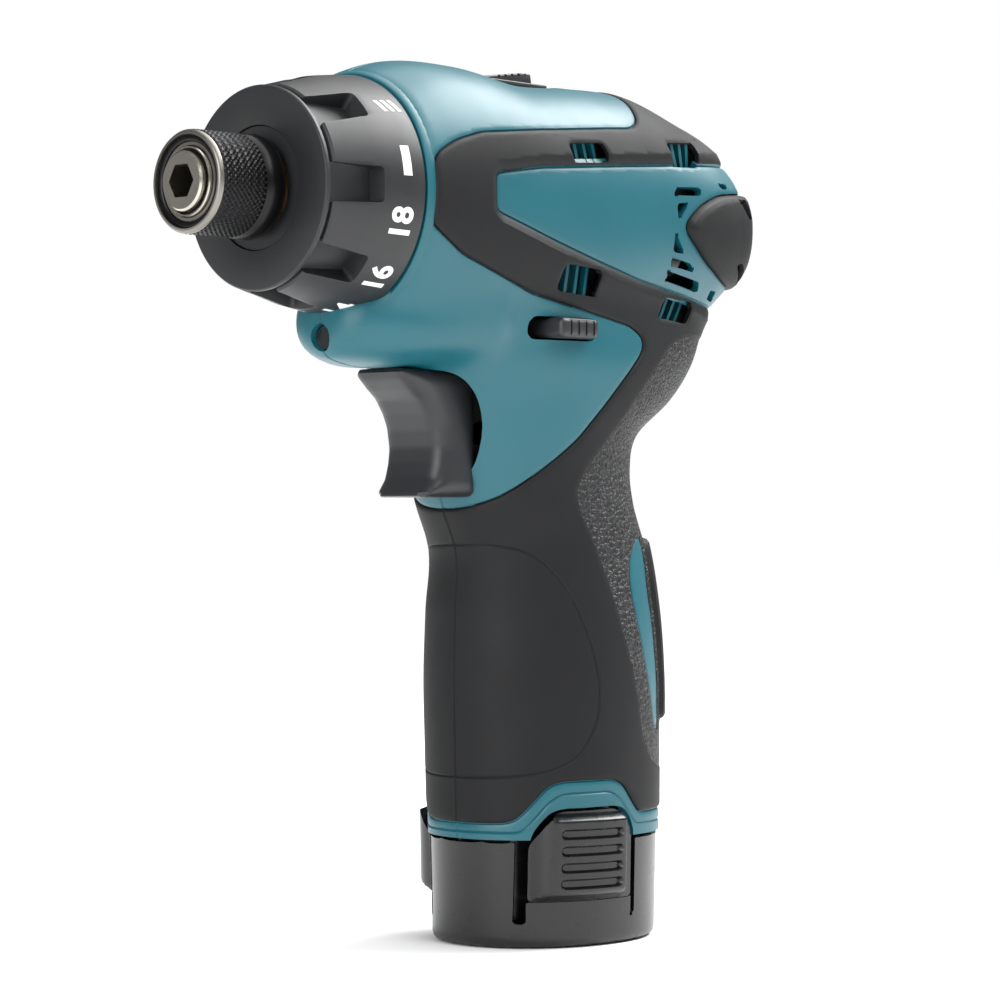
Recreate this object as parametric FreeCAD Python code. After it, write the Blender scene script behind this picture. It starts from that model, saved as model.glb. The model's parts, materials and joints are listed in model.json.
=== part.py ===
import FreeCAD, Part
import math
import os

# Cordless driver drill: pistol grip, clutch ring, hex bit sleeve and a plug-in battery.
# Frame: +X towards the nose, +Y to the tool's left, +Z up, millimetres.
# Origin: centre of the battery's bottom face, on which the tool stands.

# ---------------------------------------------------------------- driving dimensions
SPINDLE_Z = 155.5          # height of the spindle axis
HEAD_FRONT_X = 59.2        # front face of the housing, behind the clutch ring
RING_BACK_X = 59.5         # rear rim of the clutch ring
RING_FRONT_X = 83.0        # flat front face of the clutch ring
SLEEVE_FRONT_X = 101.3     # front of the bit sleeve
NOSE_X = 102.5             # front of the spindle
TAIL_X = -50.0             # rear of the housing
GRIP_BOTTOM_Z = 22.7       # lower edge of the housing
SEAM = 0.02                # half of the gap between the two housing halves
RUBBER = 1.3               # thickness of the soft overmould
PAD_SPLIT_Z = 88.0         # where the head's overmould meets the handle's
HEAD_WALL = 3.2            # overmould and shell together, round the motor
GRIP_WALL = 2.0            # overmould and shell together, round the battery
LATCH_X = (-5.0, 20.0)     # span of the battery latch along the tool
LATCH_ARCH_Z = 30.3        # top of the arch in the housing over the latch
SECTION_POINTS = 28        # points round a housing section; the first lies on the parting plane

# housing sections along the head: x, half width, top, bottom, exponent
HEAD_SECTIONS = [
    (59.2, 24.6, 180.5, 130.5, 2.0),
    (50.0, 25.6, 183.4, 127.0, 2.1),
    (36.0, 26.3, 183.9, 125.0, 2.3),
    (18.0, 26.5, 181.3, 124.0, 2.4),
    (0.0, 26.3, 182.4, 124.0, 2.4),
    (-14.0, 25.6, 182.4, 126.0, 2.3),
    (-28.0, 24.3, 178.6, 129.0, 2.3),
    (-38.0, 22.6, 175.4, 132.0, 2.3),
    (-45.0, 20.0, 171.5, 136.5, 2.3),
    (TAIL_X, 15.0, 165.5, 143.0, 2.3),
]
# housing sections down the grip: z, front, back, half width, exponent
GRIP_SECTIONS = [
    (138.0, 48.0, -43.0, 21.0, 2.3),
    (132.0, 50.0, -42.6, 22.6, 2.3),
    (124.0, 44.5, -38.5, 23.4, 2.3),
    (116.0, 39.0, -31.5, 22.5, 2.2),
    (108.0, 35.5, -20.5, 21.2, 2.1),
    (100.0, 33.0, -18.5, 20.2, 2.1),
    (93.0, 30.5, -19.8, 19.8, 2.1),
    (84.0, 26.2, -23.0, 20.2, 2.1),
    (70.0, 26.4, -25.4, 21.8, 2.1),
    (56.0, 26.6, -26.4, 22.6, 2.1),
    (40.0, 26.3, -26.6, 22.4, 2.1),
    (GRIP_BOTTOM_Z, 26.0, -26.8, 22.0, 2.1),
]
# chin under the ring, with the lamp: x, half width, top, bottom, exponent
CHIN_SECTIONS = [
    (34.0, 21.0, 140.0, 121.3, 2.6),
    (46.0, 19.0, 140.0, 121.3, 2.6),
    (56.0, 15.0, 140.0, 121.3, 2.4),
    (62.0, 10.5, 138.0, 122.4, 2.2),
    (65.2, 5.0, 134.0, 124.3, 2.0),
]
# the soft overmould seen from the side: outer outline, then the hard panel inside it
RUBBER_OUTLINE = [
    (55.0, 150.4), (55.0, 159.5), (51.5, 163.0), (37.0, 165.6), (0.0, 168.4), (-9.0, 171.0),
    (-12.5, 192.0), (-62.0, 192.0), (-62.0, 27.4), (-9.0, 27.8), (-3.0, 34.2), (16.0, 34.8),
    (21.0, 27.6), (42.0, 27.2), (42.0, 92.3), (33.1, 93.8), (21.8, 99.6), (10.1, 106.9),
    (1.6, 114.7), (-7.3, 123.3), (-9.6, 126.0), (-8.3, 128.2), (-4.6, 130.6), (9.7, 132.6),
    (29.3, 136.2), (46.5, 140.0), (51.5, 143.6),
]
PANEL_OUTLINE = [
    (38.0, 151.5), (38.5, 159.8), (26.3, 162.3), (-2.1, 164.7), (-38.7, 168.1), (-44.0, 164.0),
    (-47.0, 155.0), (-44.5, 146.0), (-40.0, 139.5), (-29.1, 136.7), (-5.5, 140.3), (21.7, 146.8),
]
TAIL_PAD_OUTLINE = [
    (-34.0, 155.3), (-38.5, 160.5), (-43.5, 166.5), (-62.0, 166.5), (-62.0, 142.0),
    (-43.0, 141.0), (-38.0, 148.5),
]

# gear train: three planetary stages with the same tooth numbers
MODULE = 0.55
SUN_TEETH = 21
PLANET_TEETH = 18
RING_TEETH = 57
PRESSURE_ANGLE = math.radians(20.0)
TOOTH_SLACK = 0.10         # how much thinner than nominal a tooth is at the pitch circle
ADDENDUM = 0.85            # in modules
DEDENDUM = 1.25            # in modules
PLANET_ANGLES = (90.0, 210.0, 330.0)
RING_GEAR_R = 18.0
CARRIER_R = 13.2
PLANET_PIN_R = 1.5
STAGES = [                 # gears from/to, ring gear from/to, carrier plate from/to
    (17.2, 22.6, 16.8, 22.9, 23.2, 25.2),
    (28.8, 35.0, 28.5, 35.5, 35.6, 37.6),
    (40.0, 46.0, 39.0, 46.6, 46.8, 49.6),
]
SHIFT_TRAVEL = 4.5         # travel of the speed knob and of the second ring gear

MOTOR_R = 17.8
MOTOR_X = (-28.0, 14.0)
SHAFT_R = 1.6
GEAR_CASE_R = 20.5
NOSE_TUBE_R = 12.3
SPINDLE_R = 5.9
HEX_FLATS = 6.35           # across flats of the bit socket
HEX_DEPTH = 24.0
BALL_R = 1.6
BALL_X = 90.2
BALL_OUT = 4.2             # radial place of a retaining ball at rest
SLEEVE_SLOPE = 0.2         # ramp in the sleeve that lets the balls out

TRIGGER_HALF_W = 9.0
TRIGGER_Z = (94.3, 120.8)
CELL_R = 9.15
CELL_CENTRES = [(11.9, 0.0), (-4.0, 9.2), (-4.0, -9.2)]
CELL_Z = (2.8, 67.8)
STALK_WALL = 0.7
STALK_TOP = 72.0           # top of the battery, inside the grip
SCREWS = [                 # x, z, size factor
    (50.0, 126.6, 1.0), (-12.0, 121.0, 1.0), (-33.0, 133.4, 1.0), (-38.0, 165.0, 1.0),
    (22.5, 88.4, 1.0), (-13.5, 90.0, 1.0), (-20.0, 33.0, 0.9), (-20.0, 60.0, 0.9),
]


# ---------------------------------------------------------------- helpers
def vec(x, y, z):
    return FreeCAD.Vector(x, y, z)


def box(x0, x1, y0, y1, z0, z1):
    return Part.makeBox(x1 - x0, y1 - y0, z1 - z0, vec(x0, y0, z0))


def rod_x(x0, x1, r, y=0.0, z=SPINDLE_Z):
    return Part.makeCylinder(r, x1 - x0, vec(x0, y, z), vec(1, 0, 0))


def rod_y(x, z, r, y0, y1):
    return Part.makeCylinder(r, y1 - y0, vec(x, y0, z), vec(0, 1, 0))


def rod_z(x, y, r, z0, z1):
    return Part.makeCylinder(r, z1 - z0, vec(x, y, z0), vec(0, 0, 1))


def tube_x(x0, x1, r_in, r_out):
    return rod_x(x0, x1, r_out).cut(rod_x(x0 - 1, x1 + 1, r_in))


def turned(profile):
    """Solid turned about the spindle axis from (x, radius) points."""
    points = [vec(x, 0, SPINDLE_Z + r) for x, r in profile]
    face = Part.Face(Part.makePolygon(points + points[:1]))
    return face.revolve(vec(0, 0, SPINDLE_Z), vec(1, 0, 0), 360)


def superellipse(count, n, start):
    """Points of the unit superellipse, anticlockwise from the start angle."""
    for k in range(count):
        angle = start + 2 * math.pi * k / count
        c = math.cos(angle)
        s = math.sin(angle)
        yield (math.copysign(abs(c) ** (2 / n), c), math.copysign(abs(s) ** (2 / n), s))


def closed_wire(points):
    """Smooth closed wire of two edges, which meet on the parting plane."""
    curve = Part.BSplineCurve()
    curve.interpolate(Points=points, PeriodicFlag=True)
    middle = curve.parameter(points[len(points) // 2])
    return Part.Wire([
        curve.toShape(curve.FirstParameter, middle), curve.toShape(middle, curve.LastParameter)])


def loft_along_x(sections, shrink=0.0):
    wires = []
    for x, half_w, top, bottom, n in sections:
        mid = (top + bottom) / 2
        half_h = (top - bottom) / 2 - shrink
        wires.append(closed_wire([
            vec(x, (half_w - shrink) * u, mid + half_h * w)
            for u, w in superellipse(SECTION_POINTS, n, math.pi / 2)]))
    return Part.makeLoft(wires, True, True)


def loft_along_z(sections, shrink=0.0):
    wires = []
    for z, front, back, half_w, n in sections:
        mid = (front + back) / 2
        half_d = (front - back) / 2 - shrink
        wires.append(closed_wire([
            vec(mid + half_d * u, (half_w - shrink) * w, z)
            for u, w in superellipse(SECTION_POINTS, n, 0.0)]))
    return Part.makeLoft(wires, True, True)


def side_prism(outline, y0, y1):
    """Prism across the tool from an (x, z) outline."""
    points = [vec(x, y0, z) for x, z in outline]
    face = Part.Face(Part.makePolygon(points + points[:1]))
    return face.extrude(vec(0, y1 - y0, 0))


def cell_hull(r, z0, z1):
    """Upright prism round the three cells: the hull of three circles."""
    corners = []
    count = len(CELL_CENTRES)
    for k in range(count):
        x0, y0 = CELL_CENTRES[k]
        x1, y1 = CELL_CENTRES[(k + 1) % count]
        length = math.hypot(x1 - x0, y1 - y0)
        nx = (y1 - y0) / length * r
        ny = -(x1 - x0) / length * r
        corners.append(vec(x0 + nx, y0 + ny, z0))
        corners.append(vec(x1 + nx, y1 + ny, z0))
    face = Part.Face(Part.makePolygon(corners + corners[:1]))
    shape = face.extrude(vec(0, 0, z1 - z0))
    for x, y in CELL_CENTRES:
        shape = shape.fuse(rod_z(x, y, r, z0, z1))
    return shape.removeSplitter()


def helix_spring(x0, x1, r, wire_r, turns):
    """Round-wire spring about the spindle axis."""
    rise = x1 - x0 - 2 * wire_r
    path = Part.makeHelix(rise / turns, rise, r)
    section = Part.Wire([Part.makeCircle(wire_r, vec(r, 0, 0), vec(0, 1, 0))])
    spring = path.makePipeShell([section], True, True)
    spring.rotate(vec(0, 0, 0), vec(0, 1, 0), 90)
    spring.translate(vec(x0 + wire_r, 0, SPINDLE_Z))
    return spring


def save(name, shape):
    solids = shape.Solids
    if len(solids) == 1:
        out = solids[0]
    else:
        out = Part.makeCompound(solids)
    out.exportStep(os.path.join("parts", name + ".step"))
    print("%-20s %2d solid(s) %9.1f mm3" % (name, len(solids), out.Volume))


# ---------------------------------------------------------------- gears
def involute(angle):
    return math.tan(angle) - angle


def tooth_half_angle(r, teeth, slack):
    """Half of the angle that a tooth spans at radius r."""
    pitch_r = MODULE * teeth / 2
    base_r = pitch_r * math.cos(PRESSURE_ANGLE)
    half = math.pi / (2 * teeth) - slack / (2 * pitch_r) + involute(PRESSURE_ANGLE)
    if r > base_r:
        half -= involute(math.acos(base_r / r))
    return half


def gear_prism(teeth, low, high, slack, phase, x0, x1):
    """Toothed prism along X between radii low and high, one tooth centred on phase degrees."""
    base_r = MODULE * teeth / 2 * math.cos(PRESSURE_ANGLE)
    start = max(low, min(base_r, high))
    radii = [low, start + 0.35 * (high - start), high]
    points = []
    for k in range(teeth):
        centre = math.radians(phase) + 2 * math.pi * k / teeth
        for r in radii:
            angle = centre - tooth_half_angle(r, teeth, slack)
            points.append(vec(x0, r * math.cos(angle), SPINDLE_Z + r * math.sin(angle)))
        for r in reversed(radii):
            angle = centre + tooth_half_angle(r, teeth, slack)
            points.append(vec(x0, r * math.cos(angle), SPINDLE_Z + r * math.sin(angle)))
    face = Part.Face(Part.makePolygon(points + points[:1]))
    return face.extrude(vec(x1 - x0, 0, 0))


def external_gear(teeth, phase, x0, x1):
    pitch_r = MODULE * teeth / 2
    low = pitch_r - DEDENDUM * MODULE
    high = pitch_r + ADDENDUM * MODULE
    return gear_prism(teeth, low, high, TOOTH_SLACK, phase, x0, x1)


def ring_gear(phase, x0, x1):
    """Internal gear; the phase is that of a tooth, so a space lies half a pitch away."""
    pitch_r = MODULE * RING_TEETH / 2
    low = pitch_r - ADDENDUM * MODULE
    high = pitch_r + DEDENDUM * MODULE
    half_pitch = 180.0 / RING_TEETH
    spaces = gear_prism(RING_TEETH, low, high, -TOOTH_SLACK, phase + half_pitch, x0 - 1, x1 + 1)
    return rod_x(x0, x1, RING_GEAR_R).cut(spaces.fuse(rod_x(x0 - 1, x1 + 1, low)))


def planet_phase(angle):
    """Tooth phase of a planet at this angle that meshes with a sun at phase 0."""
    return angle + 180.0 - 360.0 / PLANET_TEETH * (0.5 - angle * SUN_TEETH / 360.0)


def ring_phase():
    angle = PLANET_ANGLES[0]
    turned_teeth = (angle - planet_phase(angle)) * PLANET_TEETH / 360.0
    return angle - 360.0 / RING_TEETH * (turned_teeth + 0.5)


def planet_centre(angle):
    orbit = MODULE * (SUN_TEETH + PLANET_TEETH) / 2
    a = math.radians(angle)
    return orbit * math.cos(a), orbit * math.sin(a)


def make_gears():
    names = ("first", "second", "third")
    for name, (g0, g1, r0, r1, c0, c1) in zip(names, STAGES):
        save("ring_gear_" + name, ring_gear(ring_phase(), r0, r1))
        for count, angle in enumerate(PLANET_ANGLES):
            dy, dz = planet_centre(angle)
            planet = external_gear(PLANET_TEETH, planet_phase(angle), g0, g1)
            planet = planet.cut(rod_x(g0 - 1, g1 + 1, PLANET_PIN_R + 0.06))
            planet.translate(vec(0, dy, dz))
            save("planet_%s_%d" % (name, count + 1), planet)


def carrier_pins(stage):
    g0, g1, r0, r1, c0, c1 = STAGES[stage]
    pins = None
    for angle in PLANET_ANGLES:
        dy, dz = planet_centre(angle)
        pin = rod_x(g0 - 0.2, c0 + 0.5, PLANET_PIN_R, dy, SPINDLE_Z + dz)
        pins = pin if pins is None else pins.fuse(pin)
    return pins


def make_carriers():
    for stage, name in ((0, "carrier_first"), (1, "carrier_second")):
        c0, c1 = STAGES[stage][4:6]
        next_g1 = STAGES[stage + 1][1]
        plate = rod_x(c0, c1, CARRIER_R).fuse(carrier_pins(stage))
        save(name, plate.fuse(external_gear(SUN_TEETH, 0.0, c1 - 0.2, next_g1)).removeSplitter())
    c0, c1 = STAGES[2][4:6]
    hub = rod_x(c0, c1, CARRIER_R).fuse(carrier_pins(2))
    save("carrier_third", hub.cut(rod_x(c0 - 1, c1 + 1, 4.2)))


# ---------------------------------------------------------------- motor
def make_motor():
    x0, x1 = MOTOR_X
    can = tube_x(x0, x1, MOTOR_R - 1.5, MOTOR_R).fuse(tube_x(x1 - 1.5, x1, 4.05, MOTOR_R - 1))
    save("motor_can", can.removeSplitter())
    magnets = tube_x(-18.0, 6.0, 12.2, MOTOR_R - 1.52)
    for side in (-1, 1):
        magnets = magnets.cut(box(-20, 8, -2.5, 2.5, SPINDLE_Z + side * 14 - 8, SPINDLE_Z + side * 14 + 8))
    save("motor_magnets", magnets)
    cap = rod_x(x0 - 4.0, x0, 15.0).cut(rod_x(x0 - 2.4, x0 + 1, 13.0))
    cap = cap.fuse(tube_x(x0 - 7.5, x0 - 4.0, 4.05, 6.0)).cut(rod_x(x0 - 9, x0, 4.05))
    save("motor_end_cap", cap.removeSplitter())
    front = tube_x(x1 - 1.5, x1 + 1.8, SHAFT_R + 0.04, 4.0)
    back = tube_x(x0 - 7.5, x0 - 4.2, SHAFT_R + 0.04, 4.0)
    save("motor_bushings", front.fuse(back))
    save("motor_shaft", rod_x(x0 - 8.5, STAGES[0][1], SHAFT_R))
    core = rod_x(-17.5, 5.5, 11.4)
    for k in range(5):
        slot = box(-20, 8, -1.2, 1.2, SPINDLE_Z + 7.0, SPINDLE_Z + 13.0)
        slot.rotate(vec(0, 0, SPINDLE_Z), vec(1, 0, 0), 72 * k)
        core = core.cut(slot)
    save("rotor_core", core.cut(rod_x(-20, 8, SHAFT_R)))
    front_turns = turned([(5.6, 4.0), (5.6, 10.4), (7.2, 10.4), (8.4, 8.0), (8.4, 4.0)])
    back_turns = turned([(-17.6, 4.0), (-17.6, 10.4), (-19.2, 10.4), (-20.6, 8.0), (-20.6, 4.0)])
    save("rotor_windings", front_turns.fuse(back_turns))
    save("commutator", tube_x(-27.5, -21.0, SHAFT_R, 4.6))
    blade_ring = tube_x(9.0, 10.0, SHAFT_R, 14.5)
    for k in range(9):
        blade = box(9.8, 12.0, -0.4, 0.4, SPINDLE_Z + 6.0, SPINDLE_Z + 14.0)
        blade.rotate(vec(0, 0, SPINDLE_Z), vec(1, 0, 0), 40 * k)
        blade_ring = blade_ring.fuse(blade)
    save("motor_fan", blade_ring.removeSplitter())
    brushes = box(-26.5, -22.0, 4.75, 12.5, SPINDLE_Z - 2, SPINDLE_Z + 2)
    save("motor_brushes", brushes.fuse(brushes.mirror(vec(0, 0, 0), vec(0, 1, 0))))
    pinion = external_gear(SUN_TEETH, 0.0, STAGES[0][0], STAGES[0][1])
    save("motor_pinion", pinion.cut(rod_x(0, 40, SHAFT_R)))


# ---------------------------------------------------------------- gear case and clutch
def make_gear_case():
    case = turned([(16.4, RING_GEAR_R + 0.02), (16.4, GEAR_CASE_R), (52.0, GEAR_CASE_R),
                   (52.0, NOSE_TUBE_R), (82.6, NOSE_TUBE_R), (82.6, 9.02), (52.4, 9.02),
                   (52.4, 8.0), (50.0, 8.0), (50.0, RING_GEAR_R + 0.02)])
    case = case.fuse(tube_x(50.5, 53.5, NOSE_TUBE_R - 1, GEAR_CASE_R + 1.5))
    for k in range(6):
        hole = rod_x(46, 56, 1.85, 15.3 * math.cos(math.pi * k / 3),
                     SPINDLE_Z + 15.3 * math.sin(math.pi * k / 3))
        case = case.cut(hole)
    second = STAGES[1][2:4]
    for side in (-1, 1):
        y0, y1 = sorted((side * 17.0, side * 22.0))
        case = case.cut(box(second[0] - SHIFT_TRAVEL, second[1], y0, y1, SPINDLE_Z - 1.8, SPINDLE_Z + 1.8))
    save("gear_case", case.removeSplitter())
    save("motor_plate", tube_x(14.1, 16.2, 4.3, 19.0))


def make_clutch():
    pins = None
    for k in range(6):
        pin = rod_x(47.0, 54.2, 1.75, 15.3 * math.cos(math.pi * k / 3),
                    SPINDLE_Z + 15.3 * math.sin(math.pi * k / 3))
        pins = pin if pins is None else pins.fuse(pin)
    save("clutch_pins", pins)
    save("clutch_spring", helix_spring(54.3, 68.4, 15.0, 0.9, 5))
    save("clutch_spring_seat", tube_x(68.6, 71.6, NOSE_TUBE_R + 0.05, 17.6))
    ring = turned([(RING_BACK_X, 21.0), (RING_BACK_X, 24.1), (RING_BACK_X + 0.6, 24.5),
                   (RING_FRONT_X - 2.0, 20.9), (RING_FRONT_X, 20.1), (RING_FRONT_X, NOSE_TUBE_R + 0.1),
                   (RING_FRONT_X - 2.6, NOSE_TUBE_R + 0.1), (RING_FRONT_X - 2.6, 18.0)])
    for k in range(8):
        pocket = box(70.5, 90.0, -3.6, 3.6, SPINDLE_Z + 20.0, SPINDLE_Z + 30.0)
        pocket.rotate(vec(0, 0, SPINDLE_Z), vec(1, 0, 0), 45 * k + 45)
        ring = ring.cut(pocket)
    save("clutch_ring", ring.removeSplitter())


# ---------------------------------------------------------------- spindle and bit holder
def hex_prism(x0, x1):
    corner = HEX_FLATS / math.sqrt(3)
    points = [vec(x0, corner * math.cos(math.pi * k / 3), SPINDLE_Z + corner * math.sin(math.pi * k / 3))
              for k in range(6)]
    return Part.Face(Part.makePolygon(points + points[:1])).extrude(vec(x1 - x0, 0, 0))


def make_spindle():
    spindle = rod_x(50.0, NOSE_X - 0.4, SPINDLE_R).fuse(rod_x(46.9, 50.0, 4.2))
    spindle = spindle.fuse(turned([(NOSE_X - 0.4, 0.0), (NOSE_X - 0.4, SPINDLE_R), (NOSE_X, SPINDLE_R - 0.4),
                                   (NOSE_X, 0.0)]))
    spindle = spindle.cut(hex_prism(NOSE_X - HEX_DEPTH, NOSE_X + 1))
    ball_hole = rod_z(BALL_X, 0, BALL_R + 0.05, SPINDLE_Z - 8, SPINDLE_Z + 8)
    groove = tube_x(99.6, 100.5, SPINDLE_R - 0.5, SPINDLE_R + 1)
    save("spindle", spindle.cut(ball_hole).cut(groove).removeSplitter())
    for side, name in ((1, "bit_ball_upper"), (-1, "bit_ball_lower")):
        save(name, Part.makeSphere(BALL_R, vec(BALL_X, 0, SPINDLE_Z + side * BALL_OUT)))
    bearings = tube_x(53.0, 58.0, SPINDLE_R + 0.04, 9.0).fuse(tube_x(74.0, 81.0, SPINDLE_R + 0.04, 9.0))
    save("spindle_bearings", bearings)
    save("retaining_clip", tube_x(99.65, 100.45, SPINDLE_R - 0.45, 7.1))
    save("sleeve_washer", tube_x(98.4, 99.55, SPINDLE_R + 0.02, 7.75))
    save("sleeve_spring", helix_spring(92.8, 98.3, 6.95, 0.6, 2))


def make_sleeve():
    throat = SPINDLE_R + 0.15
    back = throat + SLEEVE_SLOPE * 7.5
    save("bit_sleeve", turned([
        (84.0, back), (84.0, 10.6), (84.6, 11.2), (87.4, 11.2), (89.2, 10.3), (SLEEVE_FRONT_X - 1.2, 10.3),
        (SLEEVE_FRONT_X, 9.3), (SLEEVE_FRONT_X, 8.0), (92.6, 8.0), (92.6, throat), (91.6, throat)]))


# ---------------------------------------------------------------- housing
def outer_body(shrink=0.0):
    """Whole outside of the two closed housing halves, or an offset of it."""
    grip_shrink = shrink
    if shrink > RUBBER:
        grip_shrink = GRIP_WALL
    grip = loft_along_z(GRIP_SECTIONS, grip_shrink)
    body = loft_along_x(HEAD_SECTIONS, shrink).multiFuse([grip, loft_along_x(CHIN_SECTIONS, shrink)])
    return body.common(box(TAIL_X + shrink, CHIN_SECTIONS[-1][0] - shrink, -60, 60, 0, 200))


def ring_room():
    return rod_x(HEAD_FRONT_X, HEAD_FRONT_X + 30, 25.2)


def trigger_room():
    return box(20.0, 70.0, -TRIGGER_HALF_W - 0.5, TRIGGER_HALF_W + 0.5, TRIGGER_Z[0] - 0.5, TRIGGER_Z[1] + 0.45)


def latch_arches():
    x0, x1 = LATCH_X
    left = box(x0, x1, 12.0, 40.0, 0.0, LATCH_ARCH_Z)
    return left.fuse(box(x0, x1, -40.0, -12.0, 0.0, LATCH_ARCH_Z))


def bulkheads(inside):
    """Cross walls inside the shells that hold the motor and the gear case."""
    walls = None
    for x, r in ((-20.0, MOTOR_R), (4.0, MOTOR_R), (20.0, GEAR_CASE_R), (45.0, GEAR_CASE_R)):
        wall = inside.common(box(x - 1, x + 1, -40, 40, 133.5, 190)).cut(rod_x(x - 2, x + 2, r + 0.03))
        walls = wall if walls is None else walls.fuse(wall)
    return walls


def make_housing():
    outer = outer_body()
    skin = outer_body(RUBBER)
    cavity = outer_body(HEAD_WALL)
    cavity = cavity.fuse(loft_along_z([
        (GRIP_BOTTOM_Z - 1, 26.0, -26.8, 22.0, 2.1), (GRIP_BOTTOM_Z + 3, 26.0, -26.7, 22.1, 2.1)], GRIP_WALL))
    cavity = cavity.fuse(rod_x(50.0, 60.0, GEAR_CASE_R + 0.4)).fuse(tube_x(50.3, 53.7, 5, GEAR_CASE_R + 1.7))
    shell = outer.cut(cavity)
    bosses = None
    for x, z, size in SCREWS:
        boss = rod_y(x, z, 4.4 * size, -40, 40).common(outer)
        bosses = boss if bosses is None else bosses.fuse(boss)
    shell = shell.fuse(bosses).fuse(bulkheads(cavity))
    for x, z, size in SCREWS:
        shell = shell.cut(rod_y(x, z, 1.5 * size, -20, 9))
        shell = shell.cut(rod_y(x, z, 3.2 * size, -40, -12))
    slots = [
        ring_room(), trigger_room(), latch_arches(),
        rod_x(54.0, 70.0, 2.5, 0, 126.6), box(53.6, 57.6, -7.0, 7.0, 123.2, 131.5),
        box(10.4, 22.6, -40, 40, 126.8, 131.9),
        box(8.0, 27.5, -3.0, 3.0, 172.0, 190.0), box(1.5, 27.0, -8.2, 8.2, 180.6, 190.0),
    ]
    for tool in slots:
        shell = shell.cut(tool)
    panel = side_prism(PANEL_OUTLINE, -40, 40)
    zone = side_prism(RUBBER_OUTLINE, -40, 40).cut(panel).fuse(side_prism(TAIL_PAD_OUTLINE, -40, 40))
    for side, name in ((1, "left"), (-1, "right")):
        y0, y1 = sorted((side * SEAM, side * 60.0))
        half = shell.common(box(-80, 90, y0, y1, 0, 200))
        rubber = half.common(zone).cut(skin)
        pads = []
        for z0, z1 in ((0, PAD_SPLIT_Z - SEAM), (PAD_SPLIT_Z + SEAM, 200)):
            pads += largest(rubber.common(box(-80, 90, -60, 60, z0, z1)), 1)
        save("grip_rubber_" + name, Part.makeCompound(pads))
        save("housing_" + name, largest(half.cut(zone.cut(skin)), 1)[0])


def largest(shape, count):
    """The largest solids of a shape, without crumbs left by the cuts."""
    return sorted(shape.Solids, key=lambda solid: -solid.Volume)[:count]


def make_screws():
    screws = None
    for x, z, size in SCREWS:
        screw = rod_y(x, z, 2.7 * size, -14.0, -12.0).fuse(rod_y(x, z, 1.4 * size, -12.0, 8.0))
        slot = box(x - 2 * size, x + 2 * size, -14.5, -13.2, z - 0.35, z + 0.35)
        cross = box(x - 0.35, x + 0.35, -14.5, -13.2, z - 2 * size, z + 2 * size)
        screw = screw.cut(slot.fuse(cross))
        screws = screw if screws is None else screws.fuse(screw)
    save("housing_screws", screws)


# ---------------------------------------------------------------- controls and wiring
def make_controls():
    outline = [(49.6, 120.8), (47.4, 117.8), (43.6, 114.6), (40.9, 110.6), (39.7, 106.4), (39.8, 102.0),
               (41.3, 98.0), (43.6, 95.6), (43.9, 94.3), (29.0, 94.3), (29.0, 120.8)]
    trigger = side_prism(outline, -TRIGGER_HALF_W, TRIGGER_HALF_W)
    trigger = trigger.cut(box(28.0, 34.0, -7.4, 7.4, 96.2, 118.9))
    save("trigger", trigger.fuse(rod_x(12.0, 35.0, 2.5, 0, 108.0)).removeSplitter())
    switch = box(3.0, 19.4, -8.5, 8.5, 96.5, 119.0).cut(rod_x(4.5, 22.0, 2.56, 0, 108.0))
    save("switch_case", switch)
    lever = box(11.5, 21.5, -22.5, 27.0, 127.3, 131.4)
    lever = lever.cut(box(11.0, 22.0, -18.0, 18.0, 129.8, 132.0))
    save("direction_lever", lever)
    knob = box(6.4, 26.4, -7.4, 7.4, 181.2, 182.4)
    knob = knob.fuse(side_prism([(25.4, 182.2), (24.6, 182.9), (12.6, 184.6), (10.0, 184.6), (10.0, 182.2)], -6, 6))
    knob = knob.fuse(box(16.0, 20.0, -2.5, 2.5, 178.6, 181.4))
    save("speed_knob", knob.removeSplitter())
    wire_x = (STAGES[1][2] + STAGES[1][3]) / 2
    wire = tube_x(wire_x - 0.8, wire_x + 0.8, GEAR_CASE_R + 0.6, GEAR_CASE_R + 2.2)
    wire = wire.cut(box(wire_x - 2, wire_x + 2, -40, 40, 100, SPINDLE_Z - 0.8))
    for side in (-1, 1):
        y0, y1 = sorted((side * (RING_GEAR_R + 0.02), side * (GEAR_CASE_R + 1.4)))
        wire = wire.fuse(box(wire_x - 0.8, wire_x + 0.8, y0, y1, SPINDLE_Z - 0.8, SPINDLE_Z + 0.8))
    bridge = box(18.0, wire_x + 0.8, -1.2, 1.2, SPINDLE_Z + GEAR_CASE_R + 1.0, SPINDLE_Z + GEAR_CASE_R + 2.6)
    save("shift_wire", wire.fuse(bridge).removeSplitter())
    save("led_lens", rod_x(57.4, 64.4, 2.4, 0, 126.6))
    save("led_board", box(54.2, 57.2, -6.0, 6.0, 123.6, 131.0))


def wire_run(points, r):
    run = None
    for start, end in zip(points[:-1], points[1:]):
        a = vec(*start)
        b = vec(*end)
        piece = Part.makeCylinder(r, (b - a).Length, a, b - a).fuse(Part.makeSphere(r, b))
        run = piece if run is None else run.fuse(piece)
    return run


def make_wiring():
    leads = None
    for y in (-4.5, 4.5):
        lead = wire_run([(4.5, y, 119.6), (1.0, y, 127.5), (-22.0, y, 131.5), (-27.6, y, 135.6),
                         (-30.4, y, 139.2)], 0.8)
        leads = lead if leads is None else leads.fuse(lead)
    save("motor_leads", leads)
    block = box(-8.0, 13.0, -11.0, 11.0, 82.0, 87.0)
    save("terminal_block", block.cut(terminal_blades()).fuse(terminal_blades()))


def terminal_blades():
    blades = box(-3.0, 5.0, -0.4, 0.4, 73.6, 85.5)
    for y in (-6.0, 6.0):
        blades = blades.fuse(box(-3.0, 5.0, y - 0.4, y + 0.4, 73.6, 85.5))
    return blades


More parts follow.
